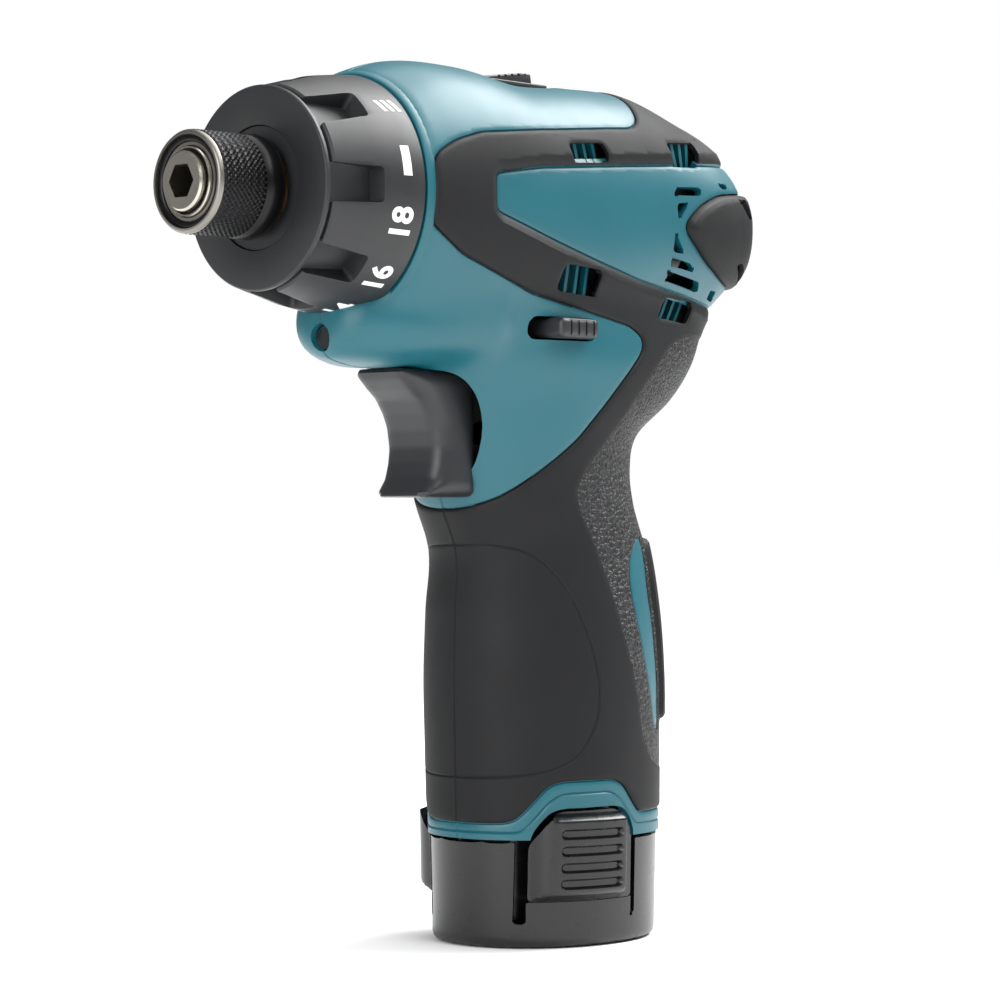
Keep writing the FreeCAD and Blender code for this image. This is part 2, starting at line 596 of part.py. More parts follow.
# ---------------------------------------------------------------- battery
BATTERY_SECTIONS = [
    (GRIP_BOTTOM_Z - 0.3, 26.0, -26.8, 22.0, 2.1), (12.0, 25.7, -26.3, 21.8, 2.1),
    (4.5, 25.6, -26.1, 21.6, 2.1), (1.2, 25.3, -25.8, 21.3, 2.1), (0.0, 24.6, -25.0, 20.6, 2.1),
]


def latch_plan(grow=0.0, swing=0.0):
    """Plan view of the left latch: outer face, slanted cheek, inner face with room to swing in."""
    return [(-4.2 - grow, 20.7 - swing), (-3.9 - grow, 23.6 + grow), (-3.0, 24.7 + grow), (13.4, 23.3 + grow),
            (15.4 + grow, 21.9 + grow), (19.3 + grow, 17.0), (18.4 + grow, 15.4 - swing), (12.5, 18.6 - swing),
            (5.0, 20.3 - swing)]


def plan_prism(outline, z0, z1):
    points = [vec(x, y, z0) for x, y in outline]
    return Part.Face(Part.makePolygon(points + points[:1])).extrude(vec(0, 0, z1 - z0))


def mirrored(shape):
    return shape.mirror(vec(0, 0, 0), vec(0, 1, 0))


def make_battery():
    outer = loft_along_z(BATTERY_SECTIONS)
    inner = loft_along_z(BATTERY_SECTIONS, 1.8).common(box(-40, 40, -40, 40, 1.8, 20.8))
    stalk_r = CELL_R + STALK_WALL + 0.1
    base = outer.cut(inner).cut(cell_hull(stalk_r + 0.1, 2.0, 60.0))
    latch_room = plan_prism(latch_plan(0.5, 1.4), 9.8, 40.0)
    base = base.cut(latch_room).cut(mirrored(latch_room))
    for side in (-1, 1):
        for x, width in ((21.6, 2.0), (-6.4, 1.6)):
            y0, y1 = sorted((side * 11.0, side * 30.0))
            base = base.cut(box(x, x + width, y0, y1, 5.0, 40.0))
    save("battery_base", largest(base.removeSplitter(), 1)[0])
    stalk = cell_hull(stalk_r, 2.2, STALK_TOP).cut(cell_hull(CELL_R + 0.1, 2.0, STALK_TOP - 1.6))
    for y in (-6.0, 0.0, 6.0):
        stalk = stalk.cut(box(-4.5, 6.5, y - 1.6, y + 1.6, STALK_TOP - 2, STALK_TOP + 1))
    save("battery_stalk", stalk)
    cells = None
    for x, y in CELL_CENTRES:
        cell = rod_z(x, y, CELL_R, *CELL_Z).fuse(rod_z(x, y, 4.0, CELL_Z[1], CELL_Z[1] + 1.0))
        cells = cell if cells is None else cells.fuse(cell)
    save("battery_cells", cells)
    clips = None
    for y in (-6.0, 0.0, 6.0):
        for lean in (-1, 1):
            y0, y1 = sorted((y + lean * 0.6, y + lean * 1.2))
            clip = box(-4.0, 6.0, y0, y1, 69.3, 79.0)
            clips = clip if clips is None else clips.fuse(clip)
        clips = clips.fuse(box(-4.0, 6.0, y - 1.2, y + 1.2, 69.1, 69.7))
    save("battery_contacts", clips)
    latch = plan_prism(latch_plan(), 10.4, 28.6)
    save("latch_left", latch)
    save("latch_right", mirrored(latch))


def main():
    os.makedirs("parts", exist_ok=True)
    make_gears()
    make_carriers()
    make_motor()
    make_gear_case()
    make_clutch()
    make_spindle()
    make_sleeve()
    make_controls()
    make_wiring()
    make_battery()
    make_screws()
    make_housing()


main()
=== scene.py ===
# %% [markdown]
# # Cordless driver drill
# The looks of a pistol-grip driver drill: a two-part moulded housing with a soft overmould, a numbered
# clutch ring, a knurled bit sleeve, a trigger, a direction lever, a speed knob and a plug-in battery.
# The CAD parts are the fixed frame. Lengths below are in millimetres and become metres when a mesh is made.
# +X points to the nose, +Y to the tool's left and +Z up; the tool stands on its battery at Z = 0.

# %% Frame
import bmesh
import bpy
import json
import math
import numpy as np
from mathutils import Matrix, Vector


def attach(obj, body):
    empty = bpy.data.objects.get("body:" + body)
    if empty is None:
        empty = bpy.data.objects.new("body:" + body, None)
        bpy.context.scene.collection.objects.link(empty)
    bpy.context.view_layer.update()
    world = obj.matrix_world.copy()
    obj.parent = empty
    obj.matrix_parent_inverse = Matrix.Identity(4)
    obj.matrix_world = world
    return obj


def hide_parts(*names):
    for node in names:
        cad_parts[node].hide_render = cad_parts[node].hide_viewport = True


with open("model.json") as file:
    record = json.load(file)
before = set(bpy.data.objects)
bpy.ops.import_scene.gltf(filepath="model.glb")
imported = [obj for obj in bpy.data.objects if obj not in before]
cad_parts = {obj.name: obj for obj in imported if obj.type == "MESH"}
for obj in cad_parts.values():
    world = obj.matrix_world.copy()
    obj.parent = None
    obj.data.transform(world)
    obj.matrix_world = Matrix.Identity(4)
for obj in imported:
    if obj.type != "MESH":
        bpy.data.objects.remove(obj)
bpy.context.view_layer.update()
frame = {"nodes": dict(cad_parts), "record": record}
MM = 0.001
AXIS_Z = 155.5          # height of the spindle axis

# %% [markdown]
# ## Materials
# Each function adds one kind of material from nodes. Pattern sizes are real lengths: a noise scale is the
# number of grains in a metre. Colours are sRGB hex values, turned linear by one function.


# %% Materials
def linear(text):
    """Linear RGBA from an sRGB hex colour."""
    parts = [int(text[i:i + 2], 16) / 255 for i in (0, 2, 4)]
    return [c / 12.92 if c <= 0.04045 else ((c + 0.055) / 1.055) ** 2.4 for c in parts] + [1.0]


def node(tree, kind, settings=(), links=()):
    """A node of one kind with socket or property values, and links into it from other sockets."""
    made = tree.nodes.new(kind)
    for name, value in dict(settings).items():
        if name in made.inputs:
            made.inputs[name].default_value = value
        else:
            setattr(made, name, value)
    for name, source in dict(links).items():
        tree.links.new(source, made.inputs[name])
    return made


def material(name, colour, roughness, metal=0.0, **more):
    """A principled material with constant values; returns it with its tree and shader for patterns."""
    made = bpy.data.materials.new(name)
    made.use_nodes = True
    tree = made.node_tree
    shader = tree.nodes["Principled BSDF"]
    shader.inputs["Base Color"].default_value = linear(colour)
    shader.inputs["Roughness"].default_value = roughness
    shader.inputs["Metallic"].default_value = metal
    for socket, value in more.items():
        shader.inputs[socket.replace("_", " ")].default_value = value
    return made, tree, shader


def relief(tree, shader, height, depth):
    """Turns a height from 0 to 1 into a bump of a depth in mm."""
    bump = node(tree, "ShaderNodeBump", {"Distance": depth * MM, "Strength": 1.0}, {"Height": height})
    tree.links.new(bump.outputs["Normal"], shader.inputs["Normal"])


def blend(tree, shader, factor, low, high):
    """Sets the base colour between two hex colours by a factor."""
    mix = node(tree, "ShaderNodeMix", {"data_type": "RGBA"})
    mix.inputs[6].default_value = linear(low)
    mix.inputs[7].default_value = linear(high)
    tree.links.new(factor, mix.inputs[0])
    tree.links.new(mix.outputs[2], shader.inputs["Base Color"])


def grain(tree, shader, size, depth, spread):
    """Grain of a size and depth in mm, with slowly uneven roughness; returns the coordinates it uses."""
    coords = node(tree, "ShaderNodeTexCoord")
    noise = node(tree, "ShaderNodeTexNoise", {"Scale": 1 / (size * MM), "Detail": 3.0, "Roughness": 0.5},
                 {"Vector": coords.outputs["Object"]})
    relief(tree, shader, noise.outputs["Fac"], depth)
    base = shader.inputs["Roughness"].default_value
    wide = node(tree, "ShaderNodeTexNoise", {"Scale": 1 / (9 * MM), "Detail": 4.0},
                {"Vector": coords.outputs["Object"]})
    level = node(tree, "ShaderNodeMapRange", {"To Min": base - spread, "To Max": base + spread},
                 {"Value": wide.outputs["Fac"]})
    tree.links.new(level.outputs["Result"], shader.inputs["Roughness"])
    return coords


def tint(tree, shader, coords, size, low, high):
    """Slow, faint change of colour over the surface, from uneven pigment and handling."""
    noise = node(tree, "ShaderNodeTexNoise", {"Scale": 1 / (size * MM), "Detail": 2.0},
                 {"Vector": coords.outputs["Object"]})
    blend(tree, shader, noise.outputs["Fac"], low, high)


def moulded(name, low, high, roughness, size, depth, spread=0.06, **more):
    """A moulded, printed or pressed finish: fine grain and a faint change of colour over 25 mm."""
    made, tree, shader = material(name, low, roughness, **more)
    coords = grain(tree, shader, size, depth, spread)
    tint(tree, shader, coords, 25, low, high)
    return made


def turned_metal(name, colour, roughness, size=0.15, depth=0.004):
    """A bare or plated metal with fine machining marks."""
    made, tree, shader = material(name, colour, roughness, 1.0)
    grain(tree, shader, size, depth, 0.05)
    return made


def leather(name, colour, roughness):
    """Soft rubber moulded with a leather grain: raised ridges round small cells, with painted highlight and
    shade.
    """
    made, tree, shader = material(name, colour, roughness, Specular_IOR_Level=0.4)
    coords = node(tree, "ShaderNodeTexCoord")
    warp = node(tree, "ShaderNodeTexNoise", {"Scale": 1 / (1.6 * MM), "Detail": 2.0},
                {"Vector": coords.outputs["Object"]})
    shift = node(tree, "ShaderNodeVectorMath", {"operation": "MULTIPLY_ADD"})
    shift.inputs[1].default_value = (1.2 * MM, 1.2 * MM, 1.2 * MM)
    tree.links.new(warp.outputs["Color"], shift.inputs[0])
    tree.links.new(coords.outputs["Object"], shift.inputs[2])
    cells = node(tree, "ShaderNodeTexVoronoi", {"feature": "DISTANCE_TO_EDGE", "Scale": 1 / (1.15 * MM)},
                 {"Vector": shift.outputs["Vector"]})
    level = node(tree, "ShaderNodeMapRange", {"From Max": 0.28, "To Min": 1.0, "To Max": 0.0,
                                              "interpolation_type": "SMOOTHSTEP"},
                 {"Value": cells.outputs["Distance"]})
    relief(tree, shader, level.outputs["Result"], 0.28)
    # painted highlight and shade: the raised ridges take the lighter colour and the low cells the darker one
    blend(tree, shader, level.outputs["Result"], "0c0d0f", colour)
    return made


# teal glass-filled nylon, injection moulded with a fine spark-eroded texture
TEAL = moulded("teal_nylon", "06505b", "0a5a66", 0.40, 0.32, 0.012)
# soft thermoplastic elastomer moulded over the shell, matt
RUBBER = moulded("black_elastomer", "0c0d0f", "111214", 0.60, 0.28, 0.016, Specular_IOR_Level=0.26)
# the same elastomer with a leather grain where the palm rests
LEATHER = leather("leather_grain_elastomer", "17181b", 0.5)
# black glass-filled nylon of the clutch ring, with a coarser grain
NYLON = moulded("black_glass_nylon", "17181a", "1d1e20", 0.45, 0.22, 0.02)
# black acetal of the trigger, the lever and the knob
ACETAL = moulded("black_acetal", "1b1c1f", "222326", 0.42, 0.25, 0.008)
# black ABS of the battery, smoother
ABS = moulded("black_abs", "0a0a0c", "0f0f11", 0.27, 0.4, 0.006, 0.05)
# black-oxided, oiled steel of the bit sleeve
BLACKENED = turned_metal("black_oxide_steel", "2a2a2b", 0.34)
# bright turned and ground steel
BRIGHT = turned_metal("ground_steel", "b9b4ab", 0.24)
# carburised gear steel
GEAR = turned_metal("gear_steel", "84817c", 0.38)
# drawn spring wire
SPRING = turned_metal("spring_steel", "8f8d8a", 0.30)
# zinc-plated screws
ZINC = turned_metal("zinc_plated_steel", "a9abad", 0.35)
# zinc-plated deep-drawn motor can
CAN = turned_metal("motor_can_steel", "8e9193", 0.36)
# sintered ferrite magnets
FERRITE = moulded("ferrite", "2c2b2b", "343333", 0.7, 0.1, 0.02)
# enamelled copper wire
COPPER = turned_metal("enamelled_copper", "a2572c", 0.30, 0.35, 0.03)
# sintered bronze bushings
BRONZE = turned_metal("sintered_bronze", "9a7440", 0.42, 0.1, 0.01)
# carbon brushes
CARBON = moulded("carbon", "202020", "2a2a2a", 0.6, 0.1, 0.01)
# shrink wrap on the cells
WRAP = moulded("cell_wrap_pvc", "2e6f4f", "34795a", 0.3, 0.8, 0.004)
# nickel-plated brass contacts
BRASS = turned_metal("contact_brass", "b69a5c", 0.28)
# solder-masked fibreglass board
BOARD = moulded("board_fr4", "1d5a34", "236b3e", 0.4, 0.5, 0.006)
# clear polycarbonate lamp lens
LENS = material("lamp_lens_polycarbonate", "1a1c1e", 0.08, 0.0, Coat_Weight=0.6, Coat_Roughness=0.05)[0]
# PVC sleeving on the leads
LEAD = moulded("lead_sleeve_pvc", "8c1f1c", "98251f", 0.4, 0.5, 0.004)
# white pad-printed ink
INK = moulded("white_print_ink", "dcdcda", "e6e6e4", 0.5, 0.2, 0.006)
# unfilled dark plastic of hidden parts, also used for the painted-shade sheets behind the vents
DARK = moulded("dark_plastic", "161618", "1d1d20", 0.5, 0.3, 0.01)
print("materials:", len(bpy.data.materials))

# %% [markdown]
# ## Making pieces
# A piece rides on a CAD body, takes a finish, and can stand for CAD parts.


# %% Making pieces
def place(obj, name, body, finish, stands_for=(), angle=35):
    """Names a mesh and gives it its body, material and smooth shading."""
    obj.name = name
    obj.data.name = name
    obj.data.materials.clear()
    obj.data.materials.append(finish)
    obj.data.shade_smooth()
    obj.data.set_sharp_from_angle(angle=math.radians(angle))
    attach(obj, body)
    if stands_for:
        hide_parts(*stands_for)
    print("  %-22s %6d faces" % (name, len(obj.data.polygons)))
    return obj


def linked(name, data):
    """A new object in the scene."""
    obj = bpy.data.objects.new(name, data)
    bpy.context.scene.collection.objects.link(obj)
    return obj


def from_mesh(points, faces):
    """A linked object from points in mm and faces."""
    data = bpy.data.meshes.new("piece")
    corners = [tuple(int(i) for i in face) for face in faces]
    data.from_pydata([tuple(p) for p in np.asarray(points, float) * MM], [], corners)
    data.validate()
    return linked("piece", data)


def only(*objs):
    """Selects these objects alone, the last one active."""
    bpy.ops.object.select_all(action="DESELECT")
    for obj in objs:
        obj.select_set(True)
    bpy.context.view_layer.objects.active = objs[-1]


def modify(obj, kind, **settings):
    """Adds a modifier and applies it at once."""
    made = obj.modifiers.new(kind.lower(), kind)
    for name, value in settings.items():
        setattr(made, name, value)
    only(obj)
    bpy.ops.object.modifier_apply(modifier=made.name)
    return obj


def bevel(obj, width, segments=3, angle=30):
    """Rounds the edges that are sharper than an angle, by a width in mm."""
    return modify(obj, "BEVEL", width=width * MM, segments=segments, limit_method="ANGLE",
                  angle_limit=math.radians(angle), harden_normals=False)


def cut_away(obj, *tools):
    """Takes the tools out of a piece and removes them."""
    for tool in tools:
        modify(obj, "BOOLEAN", operation="DIFFERENCE", solver="EXACT", object=tool)
        bpy.data.objects.remove(tool)
    return obj


def block(x0, x1, y0, y1, z0, z1):
    """A box from its limits, in mm."""
    bpy.ops.mesh.primitive_cube_add(size=1)
    obj = bpy.context.object
    size = Matrix.Diagonal(((x1 - x0) * MM, (y1 - y0) * MM, (z1 - z0) * MM, 1))
    middle = Vector((x0 + x1, y0 + y1, z0 + z1)) * MM / 2
    obj.data.transform(Matrix.Translation(middle) @ size)
    return obj


def normals_out(obj):
    """Turns the normals of a closed piece outward."""
    only(obj)
    bpy.ops.object.mode_set(mode="EDIT")
    bpy.ops.mesh.select_all(action="SELECT")
    bpy.ops.mesh.normals_make_consistent(inside=False)
    bpy.ops.object.mode_set(mode="OBJECT")
    return obj


def prism(outline, low, high, axis):
    """A prism on a closed outline, along axis 0, 1 or 2, from low to high."""
    count = len(outline)
    points = []
    for level in (low, high):
        for a, b in outline:
            points.append(np.insert([a, b], axis, level))
    faces = [[i, (i + 1) % count, count + (i + 1) % count, count + i] for i in range(count)]
    return normals_out(from_mesh(points, faces + [list(range(count))[::-1], list(range(count, 2 * count))]))


def turned(profile, count=128):
    """A closed ring turned about the spindle axis from an (x, radius) profile."""
    rows = len(profile)
    turns = [2 * math.pi * k / count for k in range(count)]
    points = [(x, r * math.cos(turn), AXIS_Z + r * math.sin(turn)) for turn in turns for x, r in profile]
    faces = [[k * rows + i, k * rows + (i + 1) % rows,
              (k + 1) % count * rows + (i + 1) % rows, (k + 1) % count * rows + i]
             for k in range(count) for i in range(rows)]
    return normals_out(from_mesh(points, faces))


def rounded(outline, radius, steps=4):
    """The outline with each corner rounded."""
    corners = [Vector(p) for p in outline]
    out = []
    for before, here, after in zip(corners[-1:] + corners[:-1], corners, corners[1:] + corners[:1]):
        start = here + (before - here) * min(radius / (before - here).length, 0.48)
        end = here + (after - here) * min(radius / (after - here).length, 0.48)
        for k in range(steps + 1):
            t = k / steps
            out.append(tuple(start * (1 - t) ** 2 + here * 2 * t * (1 - t) + end * t * t))
    return out


def join(objs):
    """Makes one piece of several."""
    only(*objs)
    bpy.ops.object.join()
    return bpy.context.object


def circle(x, z, radius, count):
    """A round outline in the side view."""
    turns = [2 * math.pi * k / count for k in range(count)]
    return [(x + radius * math.cos(turn), z + radius * math.sin(turn)) for turn in turns]


# %% [markdown]
# ## Shape of the housing
# The housing is a smooth blend of three lobes with superellipse sections: the head, the grip and the chin.
# Each table gives sections along the lobe. The field is positive inside, and close to a distance in mm near
# the skin.

# %% Shape of the housing
HEAD_FRONT = 58.7
TAIL = -50.0
FOOT = 22.7
# x, half width, top, bottom, exponent
HEAD_ROWS = [
    (59.2, 24.6, 180.5, 130.5, 2.0), (50, 25.6, 183.4, 127, 2.1), (36, 26.3, 183.9, 125, 2.3),
    (18, 26.5, 181.6, 124, 2.4), (0, 26.3, 182.4, 124, 2.4), (-14, 25.6, 182.4, 126, 2.3),
    (-28, 24.3, 178.6, 129, 2.3), (-38, 22.6, 175.4, 132, 2.3), (-45, 20.3, 171.5, 136.5, 2.3),
    (-50, 16, 166.5, 142, 2.3), (-53, 13, 163, 146, 2.3),
]
# z, front, back, half width, exponent
GRIP_ROWS = [
    (138, 48, -43, 21, 2.3), (132, 50, -42.6, 22.6, 2.3), (124, 44.5, -38.5, 23.4, 2.3),
    (116, 39, -31.5, 22.5, 2.2), (108, 35.5, -20.5, 21.2, 2.1), (100, 33, -18.5, 20.2, 2.1),
    (93, 30.5, -19.8, 19.8, 2.1), (84, 26.4, -23, 20.2, 2.1), (70, 26.4, -25.4, 21.8, 2.1),
    (56, 26.6, -26.4, 22.6, 2.1), (40, 26.3, -26.6, 22.4, 2.1), (22.7, 26, -26.8, 22, 2.1),
    (15, 26, -26.8, 22, 2.1),
]
# x, half width, top, bottom, exponent
CHIN_ROWS = [
    (30, 21, 140, 121.3, 2.6), (46, 19, 140, 121.3, 2.6), (56, 15, 140, 121.3, 2.4),
    (62, 10.5, 138, 122.4, 2.2), (66.5, 6.0, 134, 124.0, 2.0),
]


def smooth_table(rows):
    """The sections as a fine table, joined by smooth cubic curves."""
    rows = np.array(sorted(rows), float)
    at = rows[:, 0]
    slope = np.gradient(rows, at, axis=0)
    fine = np.arange(at[0], at[-1], 0.5)
    k = np.clip(np.searchsorted(at, fine, side="right") - 1, 0, len(at) - 2)
    width = (at[k + 1] - at[k])[:, None]
    t = (fine[:, None] - at[k][:, None]) / width
    ends = (1 + 2 * t) * (1 - t) ** 2 * rows[k] + t * t * (3 - 2 * t) * rows[k + 1]
    return ends + width * (t * (1 - t) ** 2 * slope[k] + t * t * (t - 1) * slope[k + 1])


HEAD, GRIP, CHIN = (smooth_table(rows) for rows in (HEAD_ROWS, GRIP_ROWS, CHIN_ROWS))
print("sections:", len(HEAD_ROWS), "head,", len(GRIP_ROWS), "grip,", len(CHIN_ROWS), "chin")


def section(table, at):
    """The columns of a table at one or more places."""
    return (np.interp(at, table[:, 0], column) for column in table[:, 1:].T)


def soft_max(a, b, k):
    """The greater of two fields, with a fillet about k mm wide where they meet."""
    near = np.maximum(k - np.abs(a - b), 0) / k
    return np.maximum(a, b) + near * near * k / 4


def soft_min(a, b, k):
    return -soft_max(-a, -b, k)


def lobe(a, b, half_a, half_b, n):
    """Distance inside a superellipse of exponent n."""
    r = (np.abs(a / half_a) ** n + np.abs(b / half_b) ** n) ** (1 / n)
    return (1 - r) * np.minimum(half_a, half_b)


def body_field(p):
    """Positive inside the closed housing, in mm."""
    x, y, z = p.T
    w, top, bottom, n = section(HEAD, x)
    head = lobe(y, z - (top + bottom) / 2, w, (top - bottom) / 2, n)
    head = soft_min(soft_min(head, HEAD_FRONT - x, 2.4), x - TAIL, 3.0)
    front, back, w, n = section(GRIP, z)
    grip = lobe(x - (front + back) / 2, y, (front - back) / 2, w, n)
    grip = soft_min(grip, 136 - z, 6.0)
    w, top, bottom, n = section(CHIN, x)
    chin = lobe(y, z - (top + bottom) / 2, w, (top - bottom) / 2, n)
    chin = soft_min(soft_min(chin, 65.4 - x, 3.0), x - 32, 4.0)
    return soft_max(soft_max(head, grip, 5.0), chin, 3.0)


def battery_field(p):
    """Positive inside the battery's base."""
    x, y, z = p.T
    half_x = 26.2 - 0.5 * (1 - z / 22.0)
    half_y = 21.9 - 0.5 * (1 - z / 22.0)
    base = lobe(x + 0.4, y, half_x, half_y, 2.1)
    return soft_min(base, z, 1.8)


# %% [markdown]
# ## Skins from a field
# A net of quads is laid on the field's zero surface and relaxed until it is even. Outlines are then cut
# into it as new edges, so that each colour border, groove and step has its own crisp line.


# %% Skins from a field
def gradient(field, p):
    """Slope of a field at each point."""
    return np.stack([(field(p + 0.05 * e) - field(p - 0.05 * e)) / 0.1 for e in np.eye(3)], 1)


def settle(field, p, steps=1):
    """Moves points onto the zero surface."""
    for _ in range(steps):
        g = gradient(field, p)
        move = g * (field(p) / np.maximum((g * g).sum(1), 0.1))[:, None]
        length = np.linalg.norm(move, axis=1, keepdims=True)
        p = p - move * np.minimum(1, 1.0 / np.maximum(length, 1e-9))
    return p


def surface_net(field, low, high, step):
    """Quads round the zero surface of a field, with normals outward."""
    axes = [np.arange(a, b, step) for a, b in zip(low, high)]
    shape = [len(a) for a in axes]
    grid = np.stack(np.meshgrid(*axes, indexing="ij"), -1).reshape(-1, 3)
    inside = (field(grid) > 0).reshape(shape)
    total = sum(inside[i:shape[0] - 1 + i, j:shape[1] - 1 + j, k:shape[2] - 1 + k].astype(int)
                for i in (0, 1) for j in (0, 1) for k in (0, 1))
    mixed = (total > 0) & (total < 8)
    index = np.full(mixed.shape, -1)
    index[mixed] = np.arange(mixed.sum())
    points = (np.argwhere(mixed) + 0.5) * step + np.array(low)
    quads = []
    for axis in range(3):
        lower = np.take(inside, range(shape[axis] - 1), axis)
        upper = np.take(inside, range(1, shape[axis]), axis)
        spots = np.argwhere(lower != upper)
        u, v = [a for a in range(3) if a != axis]
        for other in (u, v):
            spots = spots[(spots[:, other] > 0) & (spots[:, other] < shape[other] - 1)]
        outward = inside[tuple(spots.T)]
        ring = []
        for du, dv in ((-1, -1), (0, -1), (0, 0), (-1, 0)):
            cell = spots.copy()
            cell[:, u] += du
            cell[:, v] += dv
            ring.append(index[tuple(cell.T)])
        quad = np.stack(ring, 1)
        flip = outward == (axis == 1)
        quad[flip] = quad[flip][:, ::-1]
        quads.append(quad)
    quads = np.concatenate(quads)
    ends = np.concatenate([quads[:, [i, (i + 1) % 4]] for i in range(4)])
    a = np.concatenate([ends[:, 0], ends[:, 1]])
    b = np.concatenate([ends[:, 1], ends[:, 0]])
    count = np.maximum(np.bincount(a, minlength=len(points)), 1)[:, None]
    points = settle(field, points, 4)
    for _ in range(14):
        mean = np.stack([np.bincount(a, points[b, i], len(points)) for i in range(3)], 1) / count
        points = settle(field, points + 0.6 * (mean - points))
    return settle(field, points, 3), quads


def net_skin(points, quads):
    """An editable skin from a net."""
    skin = bmesh.new()
    made = [skin.verts.new(p) for p in points]
    for quad in quads:
        skin.faces.new([made[i] for i in quad])
    return skin


def shifted(level, by):
    """A level function whose zero line is moved inward."""
    return lambda p: level(p) - by


def everywhere(p):
    """A level function that is positive on every point."""
    return np.ones(len(p))


def inside_outline(outline):
    """The signed distance to an outline in the side view, positive inside."""
    a = np.array(outline, float)
    b = np.roll(a, -1, axis=0)

    def distance(p):
        at = p[:, [0, 2]]
        best = np.full(len(at), 1e9)
        odd = np.zeros(len(at), bool)
        for start, end in zip(a, b):
            along = end - start
            t = np.clip(((at - start) @ along) / max(along @ along, 1e-9), 0, 1)
            best = np.minimum(best, np.linalg.norm(at - start - t[:, None] * along, axis=1))
            if start[1] != end[1]:
                cross = (start[1] > at[:, 1]) != (end[1] > at[:, 1])
                odd ^= cross & (at[:, 0] < along[0] * (at[:, 1] - start[1]) / along[1] + start[0])
        return np.where(odd, best, -best)
    return distance


def inside_rounded(outline, radius, steps=4):
    return inside_outline(rounded(outline, radius, steps))


def cut_line(skin, level):
    """New edges in a skin along the zero line of a level function."""
    skin.verts.index_update()
    points = np.array([v.co for v in skin.verts])
    value = level(points)
    value[np.abs(value) < 0.04] = 0.0
    edges = list(skin.edges)
    pairs = np.array([[v.index for v in e.verts] for e in edges])
    crossing = np.nonzero(value[pairs[:, 0]] * value[pairs[:, 1]] < 0)[0]
    verts = list(skin.verts)
    on_line = [verts[i] for i in np.nonzero(value == 0)[0]]
    for k in crossing:
        i, j = pairs[k]
        _, made = bmesh.utils.edge_split(edges[k], verts[i], float(value[i] / (value[i] - value[j])))
        on_line.append(made)
    bmesh.ops.connect_verts(skin, verts=on_line)


def drop(skin, level):
    """Removes the faces whose middles are inside a level function."""
    faces = list(skin.faces)
    middle = np.array([f.calc_center_median() for f in faces])
    gone = [f for f, v in zip(faces, level(middle)) if v > 0]
    bmesh.ops.delete(skin, geom=gone, context="FACES")


def trim(skin, level):
    """Cuts along a level function and removes what is inside it."""
    cut_line(skin, level)
    drop(skin, level)


def swell(skin, field, features):
    """Moves the skin along its normals by the heights of the features, in mm."""
    points = settle(field, np.array([v.co for v in skin.verts]))
    normal = -gradient(field, points)
    normal /= np.linalg.norm(normal, axis=1, keepdims=True)
    height = sum(np.interp(level(points), knots, heights) for level, knots, heights in features)
    points += normal * height[:, None]
    for v, p in zip(skin.verts, points):
        v.co = p


def skin_piece(skin, level, keep_inside, thickness):
    """A solid piece from the part of a skin inside or outside a level function."""
    part = skin.copy()
    drop(part, (lambda p: -level(p)) if keep_inside else level)
    loose = [v for v in part.verts if not v.link_faces]
    bmesh.ops.delete(part, geom=loose, context="VERTS")
    data = bpy.data.meshes.new("skin")
    part.to_mesh(data)
    part.free()
    data.transform(Matrix.Scale(MM, 4))
    return modify(linked("skin", data), "SOLIDIFY", thickness=thickness * MM, offset=-1.0)


# %% [markdown]
# ## Outlines on the housing
# All are (x, z) outlines in the side view, in mm.

# %% Outlines on the housing
BAND = [
    (57.6, 148.6), (57.6, 160.5), (56.2, 162.9), (51, 165.7), (43.8, 167.9), (25.6, 169.9), (2.4, 172.2),
    (-4.5, 172.8), (-8.0, 174.6), (-11.5, 180.0), (-12.5, 195), (-70, 195), (-70, 26.9), (-6.5, 27.5),
    (-3.8, 30.3), (-0.8, 33.8), (2.5, 35.0), (14.5, 34.8), (17.0, 33.8), (20.4, 28.8), (21.9, 26.6),
    (24, 26.0), (45, 26.4), (45, 91.6), (30.5, 91.6), (26.5, 94.2), (20.2, 99.6), (11.5, 106.6),
    (3.9, 114.5), (-6.4, 125.6), (-6.6, 128.4), (-2.6, 130.6), (9.6, 132.8), (27.9, 136.3), (48.9, 143.2),
]
PANEL = [
    (40.6, 152.2), (40.6, 160), (26.8, 162.2), (9.5, 163.8), (-10.7, 165.6), (-42.7, 168.6), (-70, 170.4),
    (-70, 133.0), (-32.6, 136.6), (-4.3, 140.4), (9.9, 143.6), (22.6, 146.9),
]
TAIL_PAD = [
    (-18.4, 152.6), (-24, 157.4), (-32, 160.6), (-42.9, 162), (-70, 163), (-70, 139.6), (-44.4, 140.4),
    (-36, 141.8), (-27, 146),
]
LEATHER_STRIP = [
    (-20.3, 128.5), (-16, 126.8), (-11.7, 122.6), (-6.1, 116.5), (-1.4, 110.4), (4.5, 104.6),
    (8.6, 100.4), (10.9, 96.3), (10.0, 92.0), (5.4, 84.3), (1.8, 74.6), (-0.8, 66.3), (-4.3, 56),
    (-7.6, 43.3), (-11, 38.4), (-15.9, 36.4), (-70, 36), (-70, 131), (-26, 129.4),
]
CRESCENT = [
    (-12.7, 86.8), (-7.5, 83.4), (-5.0, 79.0), (-5.2, 73.5), (-7.4, 65.3), (-10.3, 55.7), (-13.8, 45.2),
    (-16.8, 44.6), (-16.4, 56), (-15.0, 66), (-13.4, 75), (-14.4, 82),
]
BACK_PAD = [(-15.8, 85.6), (-14.6, 75.0), (-16.2, 66.0), (-17.4, 56.0), (-17.6, 46.4), (-70, 46), (-70, 86)]
DIMPLED = [
    (45, 84.8), (26.5, 84.7), (20.4, 83.5), (16.1, 79.8), (11.8, 73), (8.2, 63.6), (6.2, 54.3), (6.9, 46.9),
    (11, 39.9), (16.6, 37.1), (22.7, 35.9), (26.2, 35.6), (45, 35.6),
]
